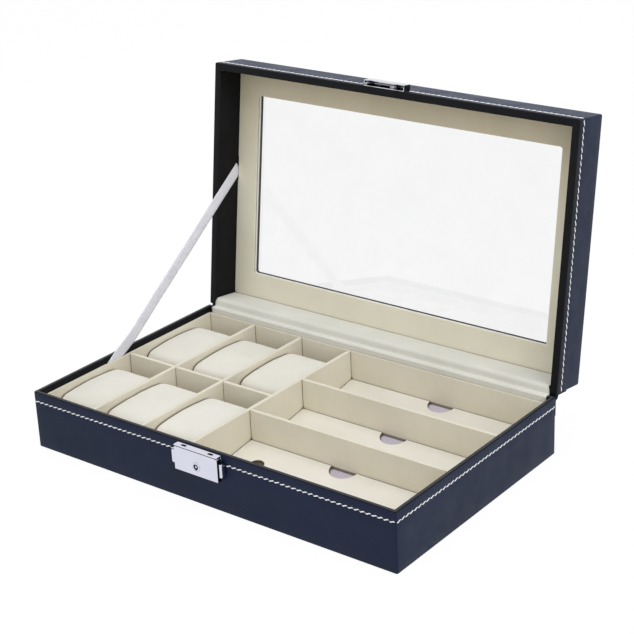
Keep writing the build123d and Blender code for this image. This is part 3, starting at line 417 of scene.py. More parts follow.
def card_material():
    """Grey pressed card with flecks, with painted dark brown shade under the finger hole and painted dark
    shade in its crevices.
    """
    n = Nodes("grey_card")
    fleck = n.noise(900, 4, 0.7)
    card = n.ramp(fleck, [(0.3, (0.42, 0.38, 0.44)), (0.7, (0.57, 0.53, 0.60))])
    # Painted shade: the card goes dark brown within 10 to 14 mm of the finger hole's centre.
    centre = (FINGER_HOLE[0] * MM, FINGER_HOLE[1] * MM, GLASSES_FLOOR_TOP_Z * MM)
    away = n.add("ShaderNodeVectorMath", operation="DISTANCE")
    n.link(n.place, away.inputs[0])
    away.inputs[1].default_value = centre
    card = n.mix(n.span(away.outputs["Value"], 0.010, 0.014, 0.0, 1.0), (0.13, 0.10, 0.075), card)
    # Painted shade in the card's crevices.
    n.color(n.mix(n.openness(CREASE_SHADE_REACH, 0.35, 0.75), (0.03, 0.025, 0.025), card))
    n.rough(n.span(fleck, 0.3, 0.7, 0.75, 0.9))
    n.normal(n.bump(fleck, 0.00008, 0.5))
    return n.material


def board_material():
    """Plain fibreboard."""
    n = Nodes("fibreboard")
    fibre = n.noise(500, 5, 0.7, n.stretched((1, 3, 3)))
    n.color(n.ramp(fibre, [(0.3, (0.34, 0.25, 0.17)), (0.7, (0.50, 0.39, 0.28))]))
    n.rough(n.span(fibre, 0.3, 0.7, 0.7, 0.9))
    n.normal(n.bump(fibre, 0.0001, 0.4))
    return n.material


def felt_material():
    """Dark felt under the base."""
    n = Nodes("dark_felt")
    fuzz = n.noise(1800, 4, 0.7)
    n.color(n.ramp(fuzz, [(0.3, (0.012, 0.014, 0.022)), (0.7, (0.035, 0.038, 0.055))]))
    n.rough(n.span(fuzz, 0.3, 0.7, 0.9, 1.0))
    n.normal(n.bump(fuzz, 0.0003, 0.8))
    n.set(Sheen_Weight=0.3, Sheen_Roughness=0.6, Specular_IOR_Level=0.1)
    return n.material


# Mesh helpers

BEND_STEPS = 8
CORNER_STEPS = 5
PARTS_ALONG_X = 30
PARTS_ALONG_Y = 20


def mesh_object(name, points, faces, material):
    """A smooth mesh from points in millimetres."""
    mesh = bpy.data.meshes.new(name)
    mesh.from_pydata([tuple(c * MM for c in p) for p in points], [], faces)
    mesh.validate()
    mesh.update()
    mesh.shade_smooth()
    piece = bpy.data.objects.new(name, mesh)
    bpy.context.scene.collection.objects.link(piece)
    mesh.materials.append(material)
    return piece


def face_outward(piece):
    """Turns all faces of a piece the same way, outward."""
    work = bmesh.new()
    work.from_mesh(piece.data)
    bmesh.ops.recalc_face_normals(work, faces=work.faces)
    work.to_mesh(piece.data)
    work.free()


def apply_modifiers(piece):
    """Bakes the piece's modifiers into its mesh."""
    graph = bpy.context.evaluated_depsgraph_get()
    baked = bpy.data.meshes.new_from_object(piece.evaluated_get(graph))
    piece.modifiers.clear()
    old = piece.data
    piece.data = baked
    bpy.data.meshes.remove(old)


def fillet_path(points, radii):
    """A path through points in two coordinates, with round bends."""
    path = [Vector(points[0])]
    for before, corner, after, radius in zip(points, points[1:], points[2:], radii):
        before, corner, after = Vector(before), Vector(corner), Vector(after)
        a = (before - corner).normalized()
        b = (after - corner).normalized()
        half = math.acos(max(-1, min(1, a.dot(b)))) / 2
        reach = radius / math.tan(half)
        centre = corner + (a + b).normalized() * radius / math.sin(half)
        start = corner + a * reach - centre
        end = corner + b * reach - centre
        angle = math.atan2(start.x * end.y - start.y * end.x, start.dot(end))
        for step in range(BEND_STEPS + 1):
            turn = angle * step / BEND_STEPS
            path.append(centre + Vector((start.x * math.cos(turn) - start.y * math.sin(turn),
                                         start.x * math.sin(turn) + start.y * math.cos(turn))))
    path.append(Vector(points[-1]))
    return path


def spaced(path, step):
    """The same path with points no further apart than step."""
    fine = [path[0]]
    for a, b in zip(path, path[1:]):
        parts = max(1, math.ceil((b - a).length / step))
        for i in range(1, parts + 1):
            fine.append(a.lerp(b, i / parts))
    return fine


def bend_angles(steps):
    """The angles of a quarter turn in even steps, without its start."""
    return [math.radians(90 * i / steps) for i in range(1, steps + 1)]


def band_faces(low, high):
    """The faces between two closed rings, given as point numbers."""
    faces = []
    for k in range(len(low)):
        m = (k + 1) % len(low)
        faces.append((low[k], low[m], high[m], high[k]))
    return faces


def ring_numbers(ring, count):
    """The point numbers of one ring in a stack of rings with count points each."""
    return range(ring * count, (ring + 1) * count)


def sheet_faces(rows, columns):
    """The faces of a closed thin sheet: two layers of a grid, and the edges between them."""
    width = columns + 1
    back = rows * width
    faces = []
    for r in range(rows - 1):
        for c in range(columns):
            a = r * width + c
            faces.append((a, a + 1, a + 1 + width, a + width))
            faces.append((back + a, back + a + width, back + a + 1 + width, back + a + 1))
        for c in (0, columns):
            a = r * width + c
            faces.append((a, a + width, back + a + width, back + a))
    for r in (0, rows - 1):
        for c in range(columns):
            a = r * width + c
            faces.append((a, a + 1, back + a + 1, back + a))
    return faces


def strip_sheet(name, path, half_width, columns, thickness, material, wander):
    """A closed thin sheet across the case that follows a path in Y and Z."""
    sides = []
    for i, p in enumerate(path):
        along = (path[min(i + 1, len(path) - 1)] - path[max(i - 1, 0)]).normalized()
        sides.append((p, Vector((-along.y, along.x))))
    points = []
    for layer in (0.5, -0.5):
        for p, side in sides:
            for column in range(columns + 1):
                x = -half_width + 2 * half_width * column / columns
                shift = layer * thickness + wander(x, p)
                points.append((x, p.x + side.x * shift, p.y + side.y * shift))
    piece = mesh_object(name, points, sheet_faces(len(path), columns), material)
    face_outward(piece)
    return piece


def outline_ring(half_x, half_y, radius, cut_x, z):
    """A level rounded rectangle. Each point has a mark for the part of the back between the cuts."""
    x = half_x - radius
    y = half_y - radius
    along_x = [-1 + 2 * i / PARTS_ALONG_X for i in range(1, PARTS_ALONG_X)]
    along_y = [-1 + 2 * i / PARTS_ALONG_Y for i in range(1, PARTS_ALONG_Y)]
    ring = []

    def corner(cx, cy, start):
        for i in range(CORNER_STEPS + 1):
            angle = math.radians(start + 90 * i / CORNER_STEPS)
            ring.append((cx + radius * math.cos(angle), cy + radius * math.sin(angle), z, False))

    corner(-x, -y, 180)
    ring.extend((x * t, -half_y, z, False) for t in along_x)
    corner(x, -y, 270)
    ring.extend((half_x, y * t, z, False) for t in along_y)
    corner(x, y, 0)
    ring.append((cut_x, half_y, z, True))
    ring.extend((cut_x * -t, half_y, z, True) for t in along_x)
    ring.append((-cut_x, half_y, z, True))
    corner(-x, y, 90)
    ring.extend((-half_x, y * -t, z, False) for t in along_y)
    return ring


def shell_from_rings(name, rings, cut_from, cut_to, material, bands, place=None):
    """A skin through closed rings of points, open across the back between two rows.

    bands are further materials, each with the rows that it covers.
    """
    count = len(rings[0])
    points = [(x, y, z) for ring in rings for x, y, z, _ in ring]
    if place:
        points = place(points)
    faces = []
    covered = []
    for r in range(len(rings) - 1):
        index = next((i + 1 for i, (_, rows) in enumerate(bands) if r in rows), 0)
        for face in band_faces(ring_numbers(r, count), ring_numbers(r + 1, count)):
            in_back = all(rings[r][number - r * count][3] for number in face[:2])
            if cut_from <= r < cut_to and in_back:
                continue
            faces.append(face)
            covered.append(index)
    piece = mesh_object(name, points, faces, material)
    for extra, _ in bands:
        piece.data.materials.append(extra)
    piece.data.polygons.foreach_set("material_index", covered)
    face_outward(piece)
    return piece


def ripple(x, y, z, size, height):
    """A small, smooth unevenness."""
    return height * noise.noise(Vector((x, y, z)) / size)


# Leather over the base and the lid

STITCH_BELOW_RIM = 7.8
LID_STITCH_FROM_RIM = 6.6
SEAM_DIP = 0.18
OUTER_BEND = 0.8
INNER_BEND = 0.45
LID_TOP_BEND = 1.4
WINDOW_BEND = 0.8
LEAST_CORNER = 0.35


def seam_rows(z):
    """The shallow groove that a line of stitches pulls into the leather."""
    shoulder = SEAM_DIP * 0.45
    return [(0.0, z - 1.3), (shoulder, z - 0.6), (SEAM_DIP, z), (shoulder, z + 0.6), (0.0, z + 1.3)]


def wall_ring(inset, z, cut_x):
    """A ring of the leather, drawn in from the case's outside by an inset."""
    radius = max(CORNER_RADIUS - inset, LEAST_CORNER)
    return outline_ring(HALF_WIDTH - inset, HALF_DEPTH - inset, radius, cut_x, z)


def base_leather_piece(material, black, rim_highlight):
    """From under the edge up the outside, over the rim and down the inside. Rows are insets and heights."""
    top = BASE_HEIGHT
    outer = OUTER_BEND
    inner = INNER_BEND
    rows = [(0.7, FELT), (0.3, FELT), (0.08, FELT + 0.12), (0.0, FELT + 0.45)]
    rows += [(0.0, z) for z in (10.0, 20.0, 30.0)]
    rows += seam_rows(top - STITCH_BELOW_RIM)
    rows += [(0.0, 43.0), (0.0, top - outer)]
    cut_from = len(rows) - 1
    rows += [(outer * (1 - math.cos(a)), top - outer + outer * math.sin(a)) for a in bend_angles(5)]
    rows += [(BASE_WALL - inner, top)]
    rows += [(BASE_WALL - inner + inner * math.sin(a), top - inner + inner * math.cos(a))
             for a in bend_angles(4)]
    rows += [(BASE_WALL, z) for z in (44.0, 38.0, 32.0)]
    rings = [wall_ring(inset, z, HINGE_CLOTH_HALF + 0.1) for inset, z in rows]
    bend_end = cut_from + 5
    # Painted highlight: the top row of the rim gets a lighter grey copy of the leather.
    bands = ((black, range(cut_from + 1, bend_end)), (rim_highlight, range(bend_end, bend_end + 1)),
             (black, range(bend_end + 1, len(rows))))
    piece = shell_from_rings("base_leather_cover", rings, cut_from, len(rows), material, bands)
    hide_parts("base_leather")
    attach(piece, "base")


def lid_leather_piece(material, black, shaded):
    """From inside the closed lid over its rim, up the outside and across the top into the window."""
    outer = OUTER_BEND
    inner = INNER_BEND
    edge = LID_TOP_BEND
    bottom = LID_RIM_Z
    rows = [(LID_WALL, z) for z in (74.0, 66.0, 57.0, bottom + inner)]
    rows += [(LID_WALL - inner + inner * math.cos(a), bottom + inner - inner * math.sin(a))
             for a in bend_angles(4)]
    rows += [(outer, bottom)]
    rows += [(outer - outer * math.sin(a), bottom + outer - outer * math.cos(a))
             for a in bend_angles(5)]
    cut_to = len(rows) - 1
    rows += seam_rows(bottom + LID_STITCH_FROM_RIM)
    rows += [(0.0, z) for z in (60.0, 67.0, 74.0, LID_TOP_Z - edge)]
    rows += [(edge - edge * math.cos(a), LID_TOP_Z - edge + edge * math.sin(a))
             for a in bend_angles(6)]
    room = LID_ROOM_HALF_WIDTH
    rings = [wall_ring(inset, z, room - 1.0 if inset > LID_WALL - 1.5 else room)
             for inset, z in rows]
    rim_x = HALF_WIDTH - edge
    rim_y = HALF_DEPTH - edge
    rim_radius = 0.5
    window_x = WINDOW_HALF_WIDTH + WINDOW_BEND
    window_y = WINDOW_HALF_DEPTH + WINDOW_BEND
    window_cut = window_x - 4
    for share in (0.1, 0.3, 0.5, 0.7, 0.9, 1.0):
        half_x = rim_x + (window_x - rim_x) * share
        half_y = rim_y + (window_y - rim_y) * share
        radius = rim_radius + (WINDOW_CORNER + WINDOW_BEND - rim_radius) * share
        cut = room + (window_cut - room) * share
        rings.append(outline_ring(half_x, half_y, radius, cut, LID_TOP_Z))
    window = [(WINDOW_BEND * (1 - math.sin(a)), LID_TOP_Z - WINDOW_BEND * (1 - math.cos(a)))
              for a in bend_angles(4)]
    for grow, z in window + [(0.0, LID_TOP_BOARD_Z)]:
        rings.append(outline_ring(WINDOW_HALF_WIDTH + grow, WINDOW_HALF_DEPTH + grow,
                                  WINDOW_CORNER + grow, window_cut, z))
    bands = ((black, range(cut_to - 1)), (shaded, range(cut_to - 1, cut_to + 2)))
    piece = shell_from_rings("lid_leather_cover", rings, 0, cut_to, material, bands, opened)
    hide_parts("lid_leather")
    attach(piece, "lid")


# Stitching

STITCH_PITCH = 4.8
STITCH_LENGTH = 4.6
STITCH_WIDTH = 0.95
STITCH_HEIGHT = 0.46
STITCH_BEND = 0.3
STITCH_TILT = 9
STITCH_SINK = 0.02
STITCH_SEED = 7


def stitch_points():
    """A single stitch: a low rounded bead along X, standing up along Z."""
    points = []
    rings = 7
    around = 8
    for i in range(rings):
        t = -1 + 2 * i / (rings - 1)
        swell = math.sqrt(max(0.0, 1 - abs(t) ** 4)) * 0.6 + 0.4
        bend = STITCH_BEND * math.sin(math.pi * t)
        for k in range(around):
            angle = 2 * math.pi * k / around
            height = STITCH_HEIGHT * swell * math.sin(angle) - STITCH_HEIGHT * 0.1 * abs(t) ** 2
            points.append((t * STITCH_LENGTH / 2, bend + STITCH_WIDTH / 2 * swell * math.cos(angle),
                           height))
    faces = []
    for i in range(rings - 1):
        faces += band_faces(ring_numbers(i, around), ring_numbers(i + 1, around))
    faces.append(tuple(reversed(ring_numbers(0, around))))
    faces.append(tuple(ring_numbers(rings - 1, around)))
    return points, faces


def stitched_line(name, runs, material, body, place=None):
    """Stitches along straight runs. A run is a start, an end and the outward direction."""
    rng = random.Random(STITCH_SEED)
    one, one_faces = stitch_points()
    points = []
    faces = []
    for start, end, out in runs:
        start, end, out = Vector(start), Vector(end), Vector(out)
        along = (end - start).normalized()
        across = out.cross(along)
        length = (end - start).length
        count = round(length / STITCH_PITCH)
        for i in range(count):
            middle = start + along * (length * (i + 0.5) / count)
            tilt = math.radians(STITCH_TILT + rng.uniform(-2.5, 2.5))
            shift = rng.uniform(-0.1, 0.1)
            grow = rng.uniform(0.96, 1.04)
            first = len(points)
            for x, y, z in one:
                u = x * grow * math.cos(tilt) - y * math.sin(tilt)
                v = x * grow * math.sin(tilt) + y * math.cos(tilt) + shift
                points.append(tuple(middle + along * u + across * v + out * (z - STITCH_SINK)))
            faces.extend(tuple(first + k for k in face) for face in one_faces)
    if place:
        points = place(points)
    piece = mesh_object(name, points, faces, material)
    face_outward(piece)
    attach(piece, body)


def stitch_runs(z, gap):
    """Runs along the front, on both sides of the metal, and along the two sides."""
    from_corner = 0.9
    reach_x = HALF_WIDTH - from_corner
    reach_y = HALF_DEPTH - from_corner
    front = -HALF_DEPTH + SEAM_DIP
    side = HALF_WIDTH - SEAM_DIP
    return [((-reach_x, front, z), (-gap, front, z), (0, -1, 0)),
            ((gap, front, z), (reach_x, front, z), (0, -1, 0)),
            ((side, -reach_y, z), (side, reach_y, z), (1, 0, 0)),
            ((-side, reach_y, z), (-side, -reach_y, z), (-1, 0, 0))]


def stitching(material):
    base_runs = stitch_runs(BASE_HEIGHT - STITCH_BELOW_RIM, LOCK_REACH)
    stitched_line("base_stitching", base_runs, material, "base")
    lid_runs = stitch_runs(LID_RIM_Z + LID_STITCH_FROM_RIM, KEEPER_REACH)
    stitched_line("lid_stitching", lid_runs, material, "lid", opened)


# Sheets across the hinge, and the ribbon

GLUED_LENGTH = 16


def hinge_cloth_piece(material):
    room = 0.6
    thickness = 0.5
    middle = room / 2 + 0.05
    wall_y = BASE_BOARD_INSIDE_Y - middle
    rim_z = BASE_BOARD_TOP_Z + middle
    lid_rim_z = LID_RIM_Z + 0.7 - middle
    lid_wall_y = LID_BOARD_INSIDE_Y - middle
    crease_y, crease_z = opened_point(HINGE_Y, lid_rim_z)
    lid_edge = opened_point(lid_wall_y, lid_rim_z)
    lean = (lid_edge[0] - crease_y) / (lid_edge[1] - crease_z)
    crease = (crease_y + lean * (rim_z - crease_z), rim_z)
    corners = ((wall_y, rim_z - GLUED_LENGTH), (wall_y, rim_z), crease, lid_edge,
               opened_point(lid_wall_y, FRAME_Z - 0.05))
    path = spaced(fillet_path(corners, (0.8, 0.7, 2.85)), 0.9)

    def wander(x, p):
        edge = min(1.0, (HINGE_CLOTH_HALF - abs(x)) / 6)
        return edge * (ripple(x, p.x * 4, p.y * 4, 34, 0.16) + ripple(x, p.x, p.y, 9, 0.05))

    piece = strip_sheet("hinge_cloth_sheet", path, HINGE_CLOTH_HALF, 150, thickness, material, wander)
    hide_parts("hinge_cloth")
    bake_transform(piece)


def hinge_leather_piece(material):
    bulge = 3.3
    thickness = 0.66
    bulge_y = HINGE_Y + bulge
    bulge_z = HINGE_Z - bulge
    far = opened_point(HINGE_Y, HINGE_Z + GLUED_LENGTH)
    fall = (far[1] - HINGE_Z) / (far[0] - HINGE_Y)
    corners = ((HINGE_Y, HINGE_Z - GLUED_LENGTH), (HINGE_Y, bulge_z), (bulge_y, bulge_z),
               (bulge_y, HINGE_Z + fall * bulge), far)
    path = spaced(fillet_path(corners, (1.5, 1.7, 1.0)), 0.8)

    def wander(x, p):
        return ripple(x, p.x * 3, p.y * 3, 26, 0.12)

    piece = strip_sheet("hinge_leather_strip", path, HINGE_LEATHER_HALF, 120, thickness, material, wander)
    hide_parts("hinge_leather")
    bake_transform(piece)


def ribbon_piece(material):
    """Flat against the side wall of the base, free up to the lid, and under the lid's inner frame."""
    width = 10.0
    thickness = 0.28
    base = Vector((-17.0, DIVIDER_TOP_Z))
    lid = Vector(opened_point(-12.0, FRAME_Z))
    along = (lid - base).normalized()
    side = Vector((-along.y, along.x))
    length = (lid - base).length
    base_x = -163.95
    lid_x = -161.4
    rim_reach = 26.0
    base_tail = 17.5
    lid_tail = 1.2
    rows = 90
    across = 8
    reaches = [-base_tail + (length + base_tail + lid_tail) * i / rows for i in range(rows + 1)]
    points = []
    for layer in (0.5, -0.5):
        for reach in reaches:
            share = min(1.0, max(0.0, reach / rim_reach))
            x = base_x + (lid_x - base_x) * share * share * (3 - 2 * share)
            free = max(0.0, min(1.0, (reach - 12) / 40)) * max(0.0, min(1.0, (length - reach) / 30))
            for k in range(across + 1):
                v = -1 + 2 * k / across
                waver = noise.noise(Vector((reach / 25, v, 0)))
                curl = 0.35 * free * (v * v - 0.4) + 0.25 * free * waver
                p = base + along * reach + side * (v * width / 2)
                points.append((x + layer * thickness - curl, p.x, p.y))
    piece = mesh_object("stay_ribbon_satin", points, sheet_faces(rows + 1, across), material)
    face_outward(piece)
    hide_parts("stay_ribbon")
    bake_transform(piece)


# Watch pillows

PILLOW_HALF_LENGTH = 36.5
PILLOW_HALF_WIDTH = 22.7
PILLOW_HALF_HEIGHT = 17.35
PILLOW_CENTRE_Z = 22.25
PILLOW_CORNER_RISE = 6.0
PILLOW_TOP_CROWN = 1.8
PILLOW_END_CROWN = 1.2
PILLOW_FIRST_X = -139.0
PILLOW_SPACING = 49.0
PILLOW_ROWS = (("front", -49.35), ("rear", 48.35))
PILLOW_STATIONS = (-1, -0.94, -0.86, -0.7, -0.5, -0.3, -0.1, 0.1, 0.3, 0.5, 0.7, 0.86, 0.94, 1)
PILLOW_END_SHARES = (0.93, 0.8, 0.62, 0.42, 0.2)
PILLOW_AROUND = 56
PILLOW_SLACK = 0.6
PILLOW_SIDE_SLACK = 0.7
PILLOW_SEAM_DRAW = 1.3
PILLOW_JITTER = 0.05
PILLOW_MOST_FILL = 1.2
PILLOW_ROOM_HALF_WIDTH = 22.95
PILLOW_OVER_FLOOR = 0.12
PILLOW_FIRST_SEED = 20
FILL_FRAMES = 20
ARC_STEPS = 60


def pillow_outline(half_length, half_height):
    """A pillow seen from its side: four gently crowned sides with round corners."""
    radius = half_height - PILLOW_TOP_CROWN - PILLOW_CORNER_RISE
    cx = half_length - radius - PILLOW_END_CROWN
    cy = PILLOW_CORNER_RISE
    end_shift = (cx ** 2 + cy ** 2 - (half_length - radius) ** 2) / (2 * PILLOW_END_CROWN)
    top_shift = (cx ** 2 + cy ** 2 - (half_height - radius) ** 2) / (2 * PILLOW_TOP_CROWN)
    low = math.atan2(cy, cx + end_shift)
    high = math.atan2(cy + top_shift, cx)
    arcs = (((-end_shift, 0), half_length + end_shift, 0.0, low, ARC_STEPS),
            ((cx, cy), radius, low, high, ARC_STEPS),
            ((0, -top_shift), half_height + top_shift, high, math.pi / 2, ARC_STEPS + 1))
    quarter = []
    for centre, reach, start, end, count in arcs:
        for i in range(count):
            angle = start + (end - start) * i / ARC_STEPS
            quarter.append(Vector(centre) + reach * Vector((math.cos(angle), math.sin(angle))))
    reaches = [0.0]
    for a, b in zip(quarter, quarter[1:]):
        reaches.append(reaches[-1] + (b - a).length)
    steps = PILLOW_AROUND // 4
    even = []
    for i in range(steps):
        target = reaches[-1] * (i + 0.5) / steps
        k = next(j for j in range(1, len(reaches)) if reaches[j] >= target)
        share = (target - reaches[k - 1]) / (reaches[k] - reaches[k - 1])
        even.append(quarter[k - 1].lerp(quarter[k], share))
    points = [(p.x, p.y) for p in even]
    points += [(-p.x, p.y) for p in reversed(even)]
    points += [(-p.x, -p.y) for p in even]
    points += [(p.x, -p.y) for p in reversed(even)]
    return points


def pillow_shape():
    """Points and faces of an unfilled pillow round its centre, and the points of its two seams.

    A wrapped band runs between two seamed end panels.
    """
    count = PILLOW_AROUND
    last = len(PILLOW_STATIONS) - 1
    points = []
    for t in PILLOW_STATIONS:
        draw = PILLOW_SEAM_DRAW * abs(t) ** 8
        for a, b in pillow_outline(PILLOW_HALF_LENGTH - PILLOW_SLACK - draw,
                                   PILLOW_HALF_HEIGHT - PILLOW_SLACK - draw):
            points.append((t * (PILLOW_HALF_WIDTH - PILLOW_SIDE_SLACK), a, b))
    faces = []
    for i in range(last):
        faces += band_faces(ring_numbers(i, count), ring_numbers(i + 1, count))
    for end, t in ((0, -1), (last, 1)):
        previous = ring_numbers(end, count)
        for share in PILLOW_END_SHARES:
            ring = range(len(points), len(points) + count)
            for a, b in pillow_outline((PILLOW_HALF_LENGTH - PILLOW_SLACK - PILLOW_SEAM_DRAW) * share,
                                       (PILLOW_HALF_HEIGHT - PILLOW_SLACK - PILLOW_SEAM_DRAW) * share):
                points.append((t * (PILLOW_HALF_WIDTH - PILLOW_SIDE_SLACK), a, b))
            faces += band_faces(previous, ring)
            previous = ring
        faces.append(tuple(previous))
    seam = list(ring_numbers(0, count)) + list(ring_numbers(last, count))
    return points, faces, seam


def pillow_piece(tag, x, y, material, seed):
    """A stuffed pillow, filled out by a cloth simulation and kept inside its watch place."""
    rng = random.Random(seed)
    points, faces, seam = pillow_shape()
    placed = []
    for point in points:
        px, py, pz = (c + rng.uniform(-PILLOW_JITTER, PILLOW_JITTER) for c in point)
        placed.append((x + px, y + py, PILLOW_CENTRE_Z + pz))
    piece = mesh_object("pillow_" + tag, placed, faces, material)
    face_outward(piece)
    rest = np.array(placed)
    fill_with_cloth(piece, seam)
    shaped = np.array([tuple(v.co) for v in piece.data.vertices]) / MM
    moved = shaped - rest
    reach = np.linalg.norm(moved, axis=1, keepdims=True)
    moved *= np.minimum(1.0, PILLOW_MOST_FILL / np.maximum(reach, 1e-6))
    shaped = rest + moved
    shaped[:, 0] = np.clip(shaped[:, 0], x - PILLOW_ROOM_HALF_WIDTH, x + PILLOW_ROOM_HALF_WIDTH)
    shaped[:, 2] = np.maximum(shaped[:, 2], FLOOR_LINING_Z + PILLOW_OVER_FLOOR)
    for index, vertex in enumerate(piece.data.vertices):
        vertex.co = Vector(shaped[index]) * MM
    finer = piece.modifiers.new("finer", "SUBSURF")
    finer.levels = 1
    finer.render_levels = 1
    apply_modifiers(piece)
    piece.data.shade_smooth()
    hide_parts("watch_pillow_" + tag)
    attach(piece, "watch_pillow_" + tag)


def fill_with_cloth(piece, seam):
    """Blows the cover up a little from inside, with the seams held."""
    held = piece.vertex_groups.new(name="held")
    held.add(seam, 0.55, "REPLACE")
    cloth = piece.modifiers.new("cloth", "CLOTH")
    settings = cloth.settings
    settings.quality = 6
    settings.mass = 0.2
    settings.tension_stiffness = 12
    settings.compression_stiffness = 12
    settings.shear_stiffness = 6
    settings.bending_stiffness = 0.6
    settings.use_pressure = True
    settings.uniform_pressure_force = 3.0
    settings.vertex_group_mass = "held"
    settings.pin_stiffness = 0.6
    settings.effector_weights.gravity = 0
    cloth.point_cache.frame_start = 1
    cloth.point_cache.frame_end = FILL_FRAMES
    scene = bpy.context.scene
    for step in range(1, FILL_FRAMES + 1):
        scene.frame_set(step)
    apply_modifiers(piece)
    scene.frame_set(1)


# CAD nodes that stay: rounded edges and their materials

def dress(node, material, edge=0.0, segments=3):
    """Gives a kept CAD node its material and, if asked, softly rounded edges."""
    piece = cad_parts[node]
    piece.data.materials.clear()
    piece.data.materials.append(material)
    for polygon in piece.data.polygons:
        polygon.material_index = 0
    if edge:
        if "custom_normal" in piece.data.attributes:
            piece.data.attributes.remove(piece.data.attributes["custom_normal"])
        weld = piece.modifiers.new("weld", "WELD")
        weld.merge_threshold = 1e-6
        bevel = piece.modifiers.new("bevel", "BEVEL")
        bevel.width = edge * MM
        bevel.segments = segments
        bevel.limit_method = "ANGLE"
        bevel.angle_limit = math.radians(35)
        bevel.use_clamp_overlap = True
        piece.data.shade_smooth()
        even = piece.modifiers.new("even", "WEIGHTED_NORMAL")
        even.keep_sharp = True
        even.weight = 80


def dress_faces(node, material, chosen):
    """Gives some faces of a kept node a second material.

    chosen tells them by their centre in millimetres and their normal.
    """
    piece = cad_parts[node]
    index = len(piece.data.materials)
    piece.data.materials.append(material)
    for polygon in piece.data.polygons:
        if chosen(polygon.center / MM, polygon.normal):
            polygon.material_index = index


def outer_end(edge_x):
    """The two end faces of a metal piece, beyond a distance from its middle."""
    return lambda centre, normal: abs(normal.x) > 0.9 and abs(centre.x) > edge_x


def level_top(centre, normal):
    """The top faces of the walls and dividers."""
    return normal.z > 0.9 and centre.z > DIVIDER_TOP_Z - 0.5


def cut_edge(centre, normal):
    """The edges of the notch and the finger hole in a glasses floor."""
    if abs(normal.z) > 0.5:
        return False
    hole = math.hypot(centre.x - FINGER_HOLE[0], centre.y - FINGER_HOLE[1]) < FINGER_HOLE_RADIUS + 0.3
    notch = abs(centre.x - NOTCH_X) < NOTCH_RADIUS + 0.2 and abs(normal.x) > 0.02
    return hole or notch


# Floor and light

WORLD_LIGHT = 0.62
FLOOR_GLOW = 1.02
FLOOR_GLOW_SHARE = 0.93
FLOOR_HALF = 4000
FLOOR_Z = -0.02


def make_floor():
    n = Nodes("pale_floor")
    tone = n.noise(3, 2, 0.5)
    n.color(n.ramp(tone, [(0.3, (0.86, 0.86, 0.87)), (0.7, (0.9, 0.9, 0.9))]))
    n.rough(n.span(tone, 0.3, 0.7, 0.8, 0.9))
    glow = n.add("ShaderNodeEmission")
    glow.inputs[0].default_value = (1, 1, 1, 1)
    glow.inputs[1].default_value = FLOOR_GLOW
    share = n.math("MULTIPLY", directly_seen(n.tree), FLOOR_GLOW_SHARE)
    swap_shaders(n.tree, share, n.shader, glow, n.output)
    half = FLOOR_HALF
    corners = [(-half, -half, FLOOR_Z), (half, -half, FLOOR_Z), (half, half, FLOOR_Z),
               (-half, half, FLOOR_Z)]
    floor = mesh_object("floor", corners, [(0, 1, 2, 3)], n.material)


def make_world():
    """A soft bluish light from all round, with plain white where the backdrop itself is seen."""
    world = bpy.data.worlds.new("studio")
    bpy.context.scene.world = world
    world.use_nodes = True
    tree = world.node_tree
    tree.nodes.clear()
    out = tree.nodes.new("ShaderNodeOutputWorld")
    shaders = []
    for color, strength in (((0.96, 0.98, 1.0, 1), WORLD_LIGHT), ((1, 1, 1, 1), 1.0)):
        shader = tree.nodes.new("ShaderNodeBackground")
        shader.inputs[0].default_value = color
        shader.inputs[1].default_value = strength
        shaders.append(shader)
    lighting, backdrop = shaders
    swap_shaders(tree, directly_seen(tree), lighting, backdrop, out)


def area_lamp(name, place, aim, size, watts):
    data = bpy.data.lights.new(name, "AREA")
    data.shape = "RECTANGLE"
    data.size, data.size_y = size
    data.energy = watts
    lamp = bpy.data.objects.new(name, data)
    lamp.location = place
    lamp.rotation_euler = (Vector(aim) - Vector(place)).to_track_quat("-Z", "Y").to_euler()
    bpy.context.scene.collection.objects.link(lamp)


def make_lights():
    area_lamp("overhead", (0.15, -0.1, 1.6), (0.0, 0.0, 0.05), (1.6, 1.3), 14)
    area_lamp("right", (1.5, -0.6, 0.9), (0.0, 0.0, 0.08), (1.0, 1.0), 5.5)


make_camera()
bpy.context.scene.view_settings.view_transform = "Standard"
make_world()
make_lights()
make_floor()

leather = leather_material("navy_leather", (0.0050, 0.0115, 0.0355), (0.0085, 0.0165, 0.047),
                           0.42, 0.55, 0.09)
black_leather = leather_material("black_leather", (0.0025, 0.0028, 0.0045), (0.0045, 0.0050, 0.0070),
                                 0.5, 0.62, 0.0)
shaded_leather = leather_material("shaded_leather", (0.0035, 0.0055, 0.016), (0.0050, 0.0075, 0.021),
                                  0.45, 0.58, 0.04)
# Painted highlight: a lighter grey copy of the leather for the top of the base's rim.
rim_highlight_leather = leather_material("rim_highlight_leather", (0.036, 0.038, 0.046), (0.052, 0.054, 0.062),
                                  0.5, 0.62, 0.05)
lining = suede_material("cream_lining", (0.765, 0.715, 0.59), (0.845, 0.795, 0.67),
                        variation=shade_under_floors)
# Painted shade: a darker copy of the lining for the tops of the walls and dividers.
shaded_top_lining = suede_material("shaded_top_lining", (0.71, 0.67, 0.55), (0.775, 0.735, 0.615))
frame_cloth = suede_material("frame_cloth", (0.79, 0.75, 0.60), (0.865, 0.825, 0.67),
                             variation=shade_to_front_edge)
floor_cloth = suede_material("cream_floor", (0.725, 0.695, 0.615), (0.80, 0.77, 0.69))
pillow_cloth = suede_material("pillow_cloth", (0.745, 0.72, 0.64), (0.82, 0.80, 0.725),
                              2200.0, 0.00014, 0.3, shaded_sides)
hinge_cloth_look = suede_material("hinge_cloth_look", (0.71, 0.70, 0.635), (0.79, 0.78, 0.715))
